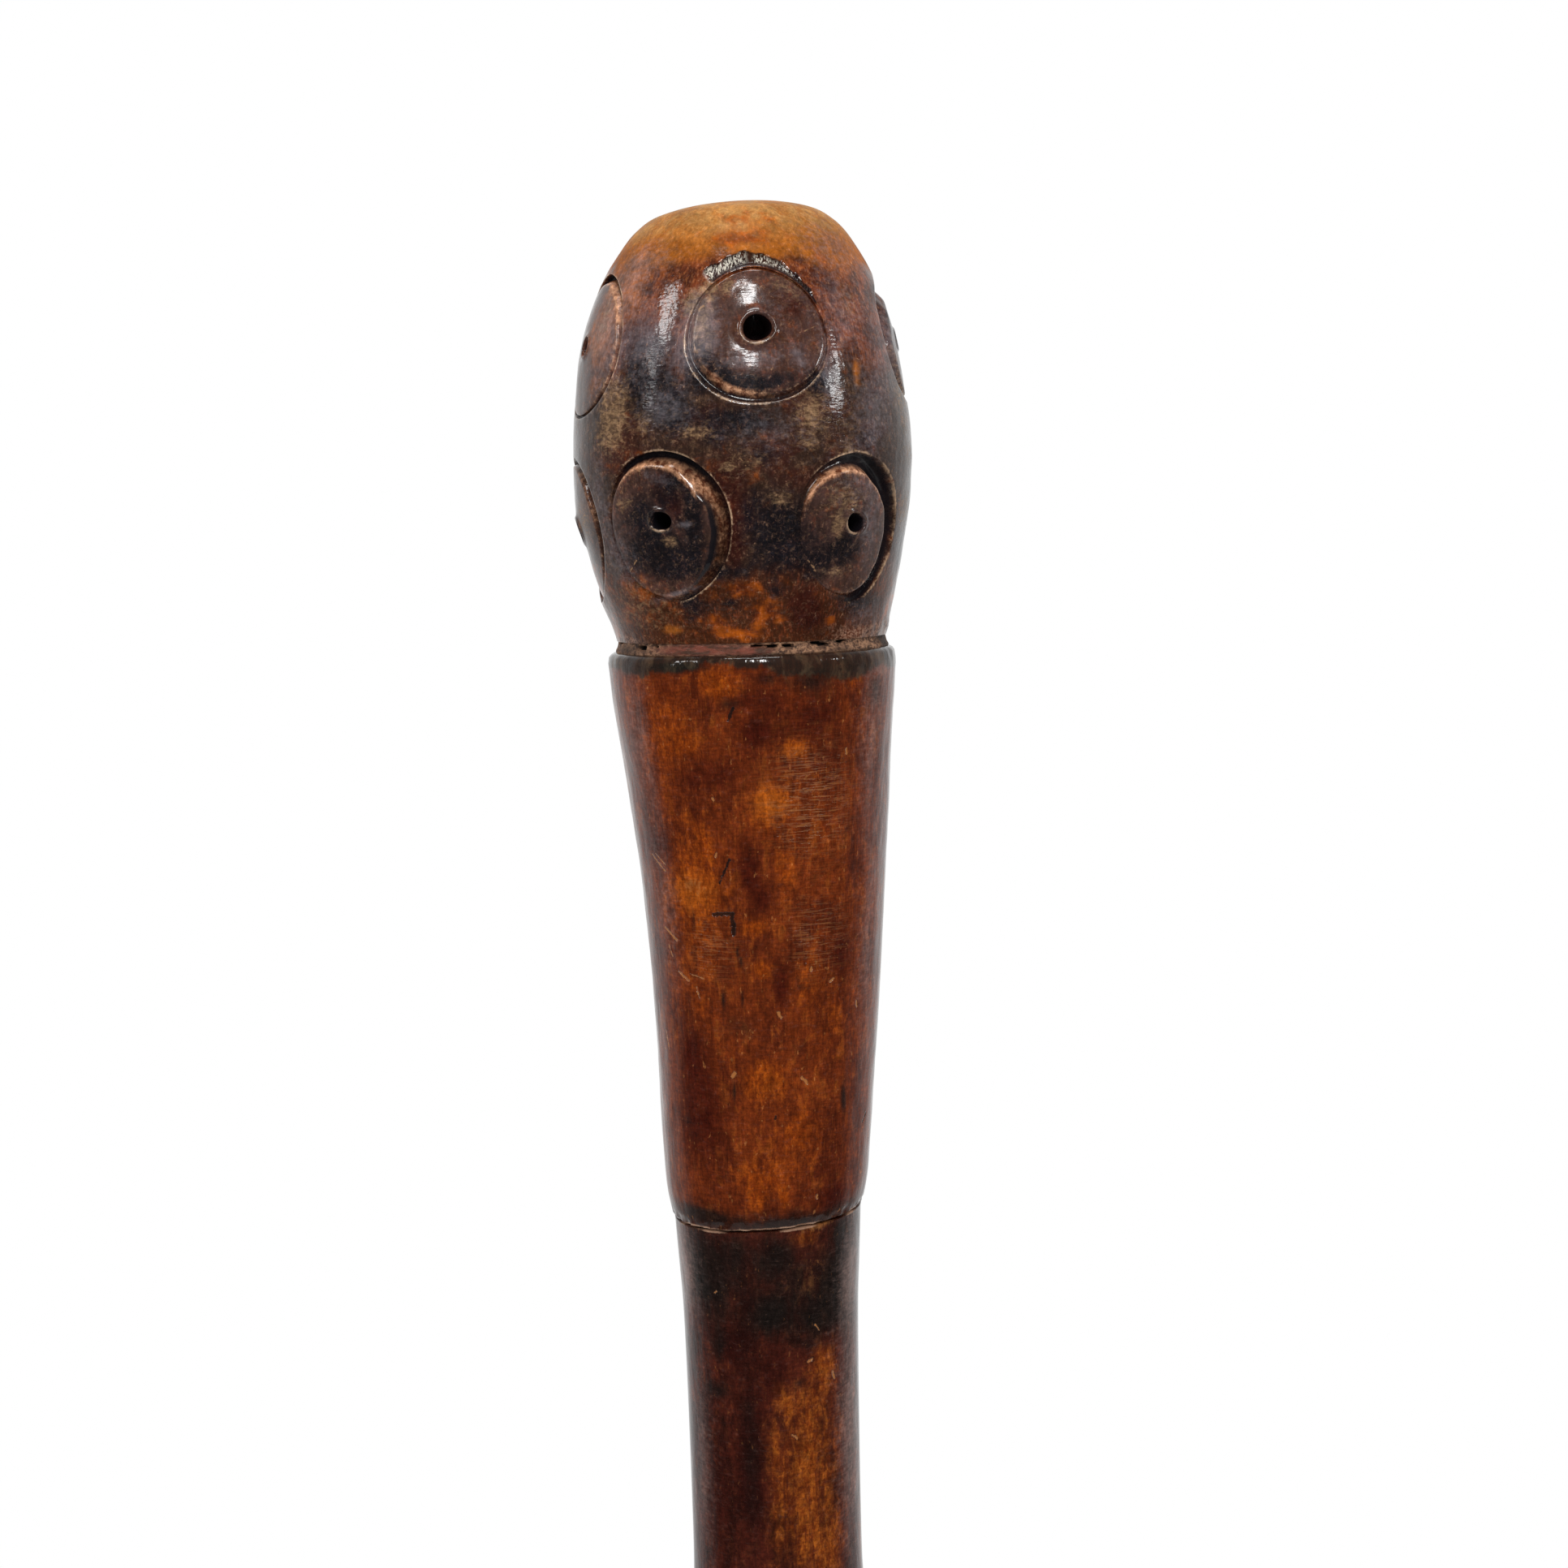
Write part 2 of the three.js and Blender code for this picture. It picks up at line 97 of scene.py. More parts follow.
@dataclass
class Stack:
    """Heights where the pieces meet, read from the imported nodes, and how the grown culm strays."""

    knob_height: float = 52.7
    grip_length: float = 70
    seam_gap: float = 0.3
    knob_radius: float = 20.65
    knob_shift: float = 0.5
    knob_shift_rise: float = 7
    crown_lean: float = 0.78
    crown_height: float = 14
    crown_drop: float = 0.32
    crown_drop_height: float = 5
    grip_bow: float = 0.7
    seam_radius: float = 12
    seam_rise: float = 0.57
    seam_fade: float = 12

    def __post_init__(self) -> None:
        """Reads where the filler lies, and so where the knob and the grip section begin and end."""
        self.grip_top, self.knob_base = (corner.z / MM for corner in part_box("neck_filler"))
        self.crown, self.seam = self.knob_base + self.knob_height, self.grip_top - self.grip_length

    def settle(self, points: Array, straight: Array) -> Array:
        """Moves points of the straight cane to their places on the grown one.

        Args:
            points: Places in millimetres, one row each.
            straight: True for the points of bores, which stay where they are.

        Returns:
            The places on the grown cane.
        """
        x, z = points[:, 0], points[:, 2]
        on_knob = z > self.knob_base
        on_grip = (z >= self.seam) & (z <= self.grip_top)
        bow = self.grip_bow * np.sin(math.pi * (z - self.seam) / self.grip_length) ** 2
        shift = -self.knob_shift * ease(z, self.knob_base, self.knob_base + self.knob_shift_rise)
        across = np.where(on_knob, shift, np.where(on_grip, bow, 0))
        from_seam = np.maximum(0, np.abs(z - self.seam) - self.seam_gap)
        seam_share = np.maximum(0, 1 - from_seam / self.seam_fade)
        crown_share = ease(z, self.crown - self.crown_height, self.crown)
        lift = self.seam_rise * (x / self.seam_radius) * seam_share
        lift += self.crown_lean * (x / self.knob_radius) * crown_share
        lift -= self.crown_drop * ease(z, self.crown - self.crown_drop_height, self.crown)
        moved = points.copy()
        moved[:, 0] += np.where(straight, 0, across)
        moved[:, 2] += np.where(straight, 0, lift)
        return moved


class Outline:
    """A turned profile that runs smoothly through given points, from its lower end up."""

    def __init__(self, points: list[Pair], steps: int = 24) -> None:
        """Runs the curve.

        Args:
            points: Radius and height of each point.
            steps: How many parts each stretch is cut in.
        """
        ends = np.array([points[0], *points, points[-1]], float)
        share = np.linspace(0, 1, steps, endpoint=False)[:, None]
        parts = []
        for before, start, end, after in zip(ends, ends[1:], ends[2:], ends[3:]):
            slope_in, slope_out = (end - before) / 2, (after - start) / 2
            cubic = 2 * start - 2 * end + slope_in + slope_out
            square = -3 * start + 3 * end - 2 * slope_in - slope_out
            parts.append(((cubic * share + square) * share + slope_in) * share + start)
        curve = np.vstack([*parts, ends[-1:]])
        self.radii = np.maximum(0, curve[:, 0])
        self.heights = np.maximum.accumulate(curve[:, 1])

    def radius(self, heights: Array) -> Array:
        """Radius of the profile at each height."""
        return np.interp(heights, self.heights, self.radii)

    def rows(self, spacing: float) -> Array:
        """Cuts the profile in rows of even length along its curve.

        Args:
            spacing: The length from row to row.

        Returns:
            A radius and a height for each row.
        """
        along = np.hypot(np.diff(self.radii), np.diff(self.heights))
        length = np.concatenate([[0], np.cumsum(along)])
        places = np.linspace(0, length[-1], max(2, round(length[-1] / spacing)) + 1)
        return np.column_stack([np.interp(places, length, part) for part in (self.radii, self.heights)])


@dataclass(frozen=True)
class PhotoView:
    """Where the photograph was taken from, and what its pixels show."""

    place: tuple[float, float, float] = (3.48, -300, 860)
    pitch: float = -5.9
    roll: float = -1.58
    frame_side: float = 1932
    focal_pixels: float = 3000
    sensor_width: float = 36
    passes: int = 8
    grazing_share: float = 0.02
    clip: Pair = (0.01, 50)

    @property
    def turn(self) -> Matrix:
        """The camera's turn, as a matrix."""
        upright = Matrix.Rotation(math.radians(90 + self.pitch), 4, "X")
        return upright @ Matrix.Rotation(math.radians(self.roll), 4, "Z")

    def on_surface(self, outline: Outline, column: float, row: float) -> Pair:
        """Finds what a pixel shows of a turned piece.

        Args:
            outline: The piece's profile.
            column: Pixels from the photograph's left edge.
            row: Pixels from its top edge.

        Returns:
            The azimuth and the height there.
        """
        middle = self.frame_side / 2
        ray = Vector(((column - middle) / self.focal_pixels, (middle - row) / self.focal_pixels, -1))
        ray = self.turn.to_3x3() @ ray
        depth = -outline.radii.max()
        for _ in range(self.passes):
            reach = (depth - self.place[1]) / ray.y
            across, height = self.place[0] + ray.x * reach, self.place[2] + ray.z * reach
            radius = float(outline.radius(height))
            depth = -math.sqrt(max(self.grazing_share * radius ** 2, radius ** 2 - across ** 2))
        return math.degrees(math.atan2(across, -depth)), height

    def pixel_size(self, outline: Outline, height: float) -> float:
        """Millimetres that a pixel covers at the front of a turned piece."""
        return (-self.place[1] - float(outline.radius(height))) / self.focal_pixels

    def make_camera(self) -> None:
        """Sets the scene's camera where the photograph was taken from."""
        data = bpy.data.cameras.new("photo_view")
        data.sensor_width = self.sensor_width
        data.lens = self.sensor_width * self.focal_pixels / self.frame_side
        data.clip_start, data.clip_end = self.clip
        camera = bpy.data.objects.new("photo_view", data)
        camera.matrix_world = Matrix.Translation(Vector(self.place) * MM) @ self.turn
        bpy.context.scene.collection.objects.link(camera)
        bpy.context.scene.camera = camera


class Tone(Enum):
    """What a blotch does: most tint the wood under the lacquer, and one is a pale grey painted sheen."""

    SOOT = "soot"
    AMBER = "amber"
    MAROON = "maroon"
    OCHRE = "ochre"
    CRUST = "crust"
    GAP = "gap"
    HONEY = "honey"
    # A pale grey painted sheen and highlight haze, in places the wood's own grey tone.
    GREY_SHEEN = "ash"
    GLOW = "glow"


@dataclass(frozen=True)
class Blotch:
    """A blotch that the photograph shows: its middle and half sizes in pixels, and its lean."""

    tone: Tone
    column: float
    row: float
    wide: float
    tall: float
    strength: float = 1
    lean: float = 0


@dataclass(frozen=True)
class Nick:
    """A nick or scratch that the photograph shows: its two ends and its width in pixels."""

    start: Pair
    end: Pair
    width: float
    pale: bool


class Marks:
    """What is painted on a piece's points: one share from zero to one for each point and name."""

    least_facing = 0.35
    usual_radius = 16

    def __init__(self, azimuth: Array, height: Array) -> None:
        """Starts with nothing painted on points of these azimuths and heights."""
        self.azimuth, self.height = azimuth, height
        self.shares: dict[str, Array] = {}

    def add(self, name: str, share: Array) -> None:
        """Paints over what a mark has already, so that two half marks make three quarters."""
        before = self.shares.get(name, np.zeros(len(self.azimuth)))
        self.shares[name] = 1 - (1 - before) * (1 - np.clip(share, 0, 1))

    def push(self, places: Array, rise: Array) -> None:
        """Moves the points' places away from the axis, each by its own rise."""
        turn = np.radians(self.azimuth)
        places += np.column_stack([np.sin(turn), -np.cos(turn), np.zeros(len(turn))]) * rise[:, None]

    def blot(self, blotch: Blotch, outline: Outline, view: PhotoView) -> None:
        """Paints a blotch that the photograph shows.

        Args:
            blotch: The blotch.
            outline: The piece's profile.
            view: The photograph's view.
        """
        azimuth, height = view.on_surface(outline, blotch.column, blotch.row)
        pixel = view.pixel_size(outline, height)
        facing = max(self.least_facing, math.cos(math.radians(azimuth)))
        across = np.radians(wrapped(self.azimuth - azimuth)) * float(outline.radius(height))
        up = self.height - height
        lean = math.radians(blotch.lean)
        side = (across * math.cos(lean) - up * math.sin(lean)) / (blotch.wide * pixel / facing)
        rise = (across * math.sin(lean) + up * math.cos(lean)) / (blotch.tall * pixel)
        self.add(blotch.tone.value, blotch.strength * np.exp(-(side ** 2 + rise ** 2)))

    def spread(self, azimuths: Pair, tone: Tone, count: int, seed: int, sizes: Pair,
               heights: Pair, strength: float) -> None:
        """Scatters blotches where the photograph shows nothing.

        Args:
            azimuths: The first and last azimuth of a middle.
            tone: What the blotches do.
            count: How many there are.
            seed: Picks their places.
            sizes: Their half width and half height.
            heights: The lowest and highest middle.
            strength: The strongest blotch's share.
        """
        draw = np.random.default_rng(seed)
        for _ in range(count):
            azimuth, height = draw.uniform(*azimuths), draw.uniform(*heights)
            wide, tall = np.array(sizes) * draw.uniform(0.5, 1.3, 2)
            across = np.radians(wrapped(self.azimuth - azimuth)) * self.usual_radius
            far = (across / wide) ** 2 + ((self.height - height) / tall) ** 2
            self.add(tone.value, strength * draw.uniform(0.5, 1) * np.exp(-far))


class Skin:
    """A closed mesh in the making: its points, its faces and where each point lies on its map."""

    def __init__(self) -> None:
        """Starts an empty skin."""
        self.points: list[Array] = []
        self.columns: dict[str, list[Array]] = {"azimuth": [], "height": [], "along": [], "straight": []}
        self.quads: list[Array] = []
        self.triangles: list[Array] = []
        self.hubs: list[int] = []
        self.count = 0

    def add_points(self, radius: Array, azimuth: Array, height: Array,
                   along: Array, straight: bool = False) -> Array:
        """Adds points by their places round the axis.

        Args:
            radius: Distances from the axis.
            azimuth: Azimuths.
            height: Heights.
            along: How far up the map each point lies.
            straight: Whether they belong to a bore.

        Returns:
            The points' numbers, shaped as the places are.
        """
        radius, azimuth, height, along = np.broadcast_arrays(radius, azimuth, height, along)
        turn = np.radians(azimuth)
        place = np.stack([radius * np.sin(turn), -radius * np.cos(turn), height], -1)
        self.points.append(place.reshape(-1, 3))
        values = {"azimuth": azimuth, "height": height, "along": along}
        for name, value in values.items():
            self.columns[name].append(np.asarray(value, float).ravel())
        self.columns["straight"].append(np.full(azimuth.size, straight))
        numbers = np.arange(self.count, self.count + azimuth.size).reshape(azimuth.shape)
        self.count += azimuth.size
        return numbers

    def along(self, row: Array) -> float:
        """Says how far up the map a row of points lies."""
        return float(np.concatenate(self.columns["along"])[row[0]])

    def join_rows(self, low: Array, high: Array) -> None:
        """Joins two closed rows of as many points with faces."""
        after_low, after_high = np.roll(low, -1), np.roll(high, -1)
        self.quads.append(np.stack([low, after_low, after_high, high], -1))

    def join_finer(self, coarse: Array, fine: Array) -> None:
        """Joins a closed row with one that has a whole number of times its points.

        Args:
            coarse: The row with fewer points.
            fine: The row with more, starting beside the same point.
        """
        times = len(fine) // len(coarse)
        if times == 1:
            self.join_rows(coarse, fine)
            return
        half = times // 2
        after = np.roll(coarse, -1)
        for step in range(times):
            first, second = np.roll(fine, -step)[::times], np.roll(fine, -step - 1)[::times]
            hub = coarse if step < half else after
            self.triangles.append(np.stack([hub, second, first], -1))
            if step == half:
                self.triangles.append(np.stack([coarse, after, first], -1))

    def fan(self, row: Array, hub: Array) -> None:
        """Closes a row with triangles to one point."""
        hubs = np.full(len(row), int(np.ravel(hub)[0]))
        self.hubs.append(hubs[0])
        self.triangles.append(np.stack([row, np.roll(row, -1), hubs], -1))

    def gather(self, stack: Stack) -> tuple[Array, Marks]:
        """Puts the points together and settles them on the grown cane.

        Args:
            stack: How the grown culm strays.

        Returns:
            The points' places and the marks to paint on them.
        """
        straight = np.concatenate(self.columns["straight"]).astype(bool)
        marks = Marks(np.concatenate(self.columns["azimuth"]), np.concatenate(self.columns["height"]))
        return stack.settle(np.vstack(self.points), straight), marks

    def bake_map(self, faces: Array, turns: Array, along: Array) -> Array:
        """Unrolls faces onto the piece's map.

        Args:
            faces: The faces, one row each.
            turns: How far round each point lies, in turns.
            along: How far up the map each point lies.

        Returns:
            Map places for each face's corners.
        """
        across = turns[faces]
        split = np.ptp(across, axis=1) > 0.5
        across = np.where(split[:, None] & (across < 0.5), across + 1, across)
        fans = np.isin(faces[:, -1:], self.hubs)
        across[:, -1:] = np.where(fans, across[:, :2].mean(1, keepdims=True), across[:, -1:])
        return np.stack([across, along[faces]], -1).reshape(-1, 2)

    def make(self, name: str, places: Array, marks: Marks, sharp: float) -> Piece:
        """Makes the object, with its marks and its map.

        Args:
            name: The object's name.
            places: The points' settled places.
            marks: What is painted on them.
            sharp: The angle from which an edge stays sharp.

        Returns:
            The object, in the scene.
        """
        quads = np.vstack(self.quads)
        triangles = np.vstack(self.triangles) if self.triangles else np.zeros((0, 3), int)
        used = np.unique(np.concatenate([quads.ravel(), triangles.ravel()]))
        renumber = np.full(self.count, -1)
        renumber[used] = np.arange(len(used))
        turns = (np.concatenate(self.columns["azimuth"]) % 360) / 360
        along = np.concatenate(self.columns["along"])
        along = (along - along.min()) / np.ptp(along)
        corner_map = np.vstack([self.bake_map(quads, turns, along), self.bake_map(triangles, turns, along)])
        mesh = bpy.data.meshes.new(name)
        faces = renumber[quads].tolist() + renumber[triangles].tolist()
        mesh.from_pydata((places[used] * MM).tolist(), [], faces)
        layer = mesh.uv_layers.new(name="OFBake")
        layer.uv.foreach_set("vector", (corner_map * MAP_SHARE + MAP_MARGIN).astype(np.float32).ravel())
        for mark, share in marks.shares.items():
            attribute = mesh.attributes.new(mark, "FLOAT", "POINT")
            attribute.data.foreach_set("value", share[used].astype(np.float32))
        shaped = bmesh.new()
        shaped.from_mesh(mesh)
        bmesh.ops.recalc_face_normals(shaped, faces=shaped.faces)
        shaped.to_mesh(mesh)
        shaped.free()
        mesh.shade_smooth()
        mesh.set_sharp_from_angle(angle=math.radians(sharp))
        mesh.validate()
        piece = bpy.data.objects.new(name, mesh)
        bpy.context.scene.collection.objects.link(piece)
        return piece


def turned_skin(skin: Skin, path: list[Pair], columns: int, straight: bool = False) -> Array:
    """Adds rows of points for a stretch of a turned piece that needs no carving.

    Args:
        skin: The skin that gets them.
        path: Radius and height of each row.
        columns: How many points go round.
        straight: Whether the stretch is a bore's.

    Returns:
        The numbers of the rows' points.
    """
    azimuths = np.arange(columns) * 360 / columns - 180
    radii, heights = np.array(path, float).T
    steps = np.hypot(np.diff(radii, prepend=radii[0]), np.diff(heights, prepend=heights[0]))
    start = max(skin.columns["along"][-1]) if skin.count else 0
    along = start + 0.5 + np.cumsum(steps)
    return skin.add_points(radii[:, None], azimuths[None, :], heights[:, None], along[:, None], straight)


def join_all(skin: Skin, rows: Array) -> None:
    """Joins each row of points with the next."""
    for low, high in zip(rows, rows[1:]):
        skin.join_rows(low, high)


@dataclass
class PaintedPart:
    """A turned part of the cane, with what the photograph shows on it."""

    stack: Stack
    view: PhotoView
    blotches: tuple = ()
    nicks: tuple = ()
    behind: Pair = (72, 288)
    outline: Outline = field(init=False)

    def blot(self, marks: Marks) -> None:
        """Paints the blotches that the photograph shows."""
        for blotch in self.blotches:
            marks.blot(blotch, self.outline, self.view)

    def scatter(self, marks: Marks, *rows: tuple) -> None:
        """Scatters blotches round the side and the back, each kind as Marks.spread takes it."""
        for row in rows:
            marks.spread(self.behind, *row)

    def locate(self, column: float, row: float) -> Vector:
        """Finds the place on the grown cane that a pixel shows.

        Args:
            column: Pixels from the photograph's left edge.
            row: Pixels from its top edge.

        Returns:
            The place in millimetres.
        """
        azimuth, height = self.view.on_surface(self.outline, column, row)
        radius, turn = float(self.outline.radius(height)), math.radians(azimuth)
        place = np.array([[radius * math.sin(turn), -radius * math.cos(turn), height]])
        return Vector(self.stack.settle(place, np.array([False]))[0])


class Nodes:
    """A node tree in the making."""

    def __init__(self, tree: bpy.types.NodeTree) -> None:
        """Empties the tree."""
        self.tree = tree
        tree.nodes.clear()

    def add(self, kind: str, inputs: dict, **settings: object) -> bpy.types.Node:
        """Adds a node.

        Args:
            kind: Blender's name for it.
            inputs: A value, a written colour or a socket for each input, by name or number.
            settings: The node's own settings.

        Returns:
            The node.
        """
        node = self.tree.nodes.new(kind)
        for name, value in settings.items():
            setattr(node, name, value)
        for key, value in inputs.items():
            if isinstance(value, Socket):
                self.tree.links.new(value, node.inputs[key])
            else:
                node.inputs[key].default_value = linear(value) if isinstance(value, str) else value
        return node

    def math(self, operation: str, *values: object) -> Socket:
        """Works out a number from one to three others."""
        return self.add("ShaderNodeMath", dict(enumerate(values)), operation=operation).outputs[0]

    def vector(self, operation: str, *values: object, output: int = 0) -> Socket:
        """Works out a vector from one to three others, or a number where output is one."""
        return self.add("ShaderNodeVectorMath", dict(enumerate(values)), operation=operation).outputs[output]

    def step(self, value: object, low: float, high: float, least: float = 0, most: float = 1) -> Socket:
        """Rises smoothly from least to most while a value goes from low to high."""
        inputs = {"Value": value, "From Min": low, "From Max": high, "To Min": least, "To Max": most}
        return self.add("ShaderNodeMapRange", inputs, interpolation_type="SMOOTHSTEP").outputs[0]


class Recipe(Nodes):
    """A finish in the making: the nodes of a material, laid out in the object's own millimetres."""

    def __init__(self, name: str) -> None:
        """Starts an empty material."""
        self.material = bpy.data.materials.new(name)
        self.material.use_nodes = True
        super().__init__(self.material.node_tree)
        own = self.add("ShaderNodeTexCoord", {}).outputs["Object"]
        self.place = self.vector("MULTIPLY", own, (1 / MM,) * 3)

    def mark(self, name: str) -> Socket:
        """Reads a mark that is painted on the piece's points."""
        return self.add("ShaderNodeAttribute", {}, attribute_name=name).outputs["Fac"]

    def grain(self, wide: float, tall: float, detail: float = 3, rough: float = 0.6, warp: float = 0,
              seed: float = 0) -> Socket:
        """Makes a random pattern.

        Args:
            wide: How wide its spots are across the cane.
            tall: How tall they are along it.
            detail: How many finer patterns are laid over it.
            rough: How strong the finer ones are.
            warp: How far it is twisted.
            seed: Picks another pattern.

        Returns:
            Shares round a half.
        """
        place = self.vector("MULTIPLY_ADD", self.place, (1 / wide, 1 / wide, 1 / tall),
                            (seed, seed * 1.7, seed * 2.3))
        return self.add("ShaderNodeTexNoise", {"Vector": place, "Scale": 1, "Detail": detail,
                                               "Roughness": rough, "Distortion": warp}).outputs["Fac"]

    def blend(self, share: object, under: object, over: object, most: float = 1, way: str = "MIX") -> Socket:
        """Lays one colour over another.

        Args:
            share: How much of the upper one shows.
            under: The lower colour.
            over: The upper one.
            most: How much of the upper one shows where the share is one.
            way: How they mix.

        Returns:
            The mixed colour.
        """
        if most != 1:
            share = self.math("MULTIPLY", share, most)
        inputs = {0: share, 6: under, 7: over}
        return self.add("ShaderNodeMix", inputs, data_type="RGBA", blend_type=way).outputs[2]

    def lay(self, colour: object, *layers: tuple) -> Socket:
        """Lays colours over one: for each, how much shows, the colour, and the most that shows, if any."""
        for share, *layer in layers:
            colour = self.blend(share, colour, *layer)
        return colour

    def vary(self, colour: Socket, *patterns: tuple[Socket, float, float]) -> Socket:
        """Darkens and brightens a colour by patterns, each from its least to its most times as bright."""
        for pattern, least, most in patterns:
            colour = self.blend(1.0, colour, self.step(pattern, 0.32, 0.68, least, most), way="MULTIPLY")
        return colour

    def torn(self, mark: str, pattern: Socket, tear: float, soft: float) -> Socket:
        """Gives a painted mark a soft edge, which a pattern of shares round a half moves by its tear."""
        moved = self.math("MULTIPLY_ADD", self.math("SUBTRACT", pattern, 0.5), tear, self.mark(mark))
        return self.step(moved, 0.5 - soft, 0.5 + soft)

    def nicks(self, part: PaintedPart, pale: bool) -> Socket:
        """Draws a part's nicks of one kind.

        Args:
            part: The part.
            pale: Which kind is drawn.

        Returns:
            A share that is one inside a nick.
        """
        share: object = 0.0
        fray = self.grain(0.5, 0.5, 2, seed=41)
        for nick in part.nicks:
            if nick.pale != pale:
                continue
            start = part.locate(*nick.start)
            line = part.locate(*nick.end) - start
            width = nick.width * part.view.pixel_size(part.outline, start.z)
            from_start = self.vector("SUBTRACT", self.place, start)
            along = self.vector("DOT_PRODUCT", from_start, line / line.length_squared, output=1)
            kept = self.add("ShaderNodeClamp", {"Value": along}).outputs[0]
            nearest = self.add("ShaderNodeVectorMath", {0: line, "Scale": kept}, operation="SCALE")
            far = self.vector("DISTANCE", from_start, nearest.outputs[0], output=1)
            frayed = self.math("MULTIPLY_ADD", self.math("SUBTRACT", fray, 0.5), min(width * 3, 0.55), far)
            share = self.math("MAXIMUM", share, self.step(frayed, width * 0.35, width * 0.75, 1, 0))
        return share

    def finish(self, colour: Socket, roughness: object, relief: list[tuple[Socket, float]],
               **sockets: object) -> Finish:
        """Joins the finish to the material's output.

        Args:
            colour: The base colour.
            roughness: The roughness.
            relief: Patterns and how far each stands up, in millimetres, broadest first.
            sockets: What the shader's other sockets get, with underscores for spaces.

        Returns:
            The material.
        """
        values = {name.replace("_", " "): value for name, value in sockets.items()}
        values |= {"Base Color": colour, "Roughness": roughness}
        shader = self.add("ShaderNodeBsdfPrincipled", values)
        under = {}
        for pattern, height in relief:
            inputs = {"Height": pattern, "Strength": 1.0, "Distance": height * MM, **under}
            under = {"Normal": self.add("ShaderNodeBump", inputs).outputs[0]}
        for name in ("Normal", "Coat Normal"):
            self.tree.links.new(under["Normal"], shader.inputs[name])
        self.add("ShaderNodeOutputMaterial", {"Surface": shader.outputs[0]})
        return self.material


@dataclass(frozen=True)
class Eye:
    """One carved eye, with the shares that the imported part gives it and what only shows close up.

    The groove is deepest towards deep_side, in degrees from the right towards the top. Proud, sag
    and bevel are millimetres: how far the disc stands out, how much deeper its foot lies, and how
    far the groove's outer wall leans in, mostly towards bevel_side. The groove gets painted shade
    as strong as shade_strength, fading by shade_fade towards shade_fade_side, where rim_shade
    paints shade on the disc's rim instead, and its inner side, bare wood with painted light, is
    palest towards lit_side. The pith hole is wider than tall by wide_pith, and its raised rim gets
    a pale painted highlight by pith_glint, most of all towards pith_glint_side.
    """

    azimuth: float
    deep_side: float
    size: float
    tall: float
    lift: float
    groove: float
    tilt: float
    pith: float
    proud: float = 0
    dome: float = 0.25
    bevel: float = 0
    bevel_side: float = 235
    chatter: bool = False
    slope: float = 1
    pith_up: float = 0
    narrowing: float = 0.5
    shallowness: float = 0
    shade_strength: float = 1
    chamfer: float = 0.55
    shade_fade: float = 0
    shade_fade_side: float = -15
    lit_side: float = 60
    lit_least: float = 0.3
    lit_power: float = 1
    sag: float = 0
    wide_pith: float = 0
    rim_shade: float = 0
    pith_glint: float = 0
    pith_glint_side: float = 270


@dataclass(frozen=True)
class EyeRing:
    """One closed row of points round an eye: how far out it lies, how high, and its marks."""

    reach: Array
    rise: Array
    marks: dict[str, float]
    up: float = 0


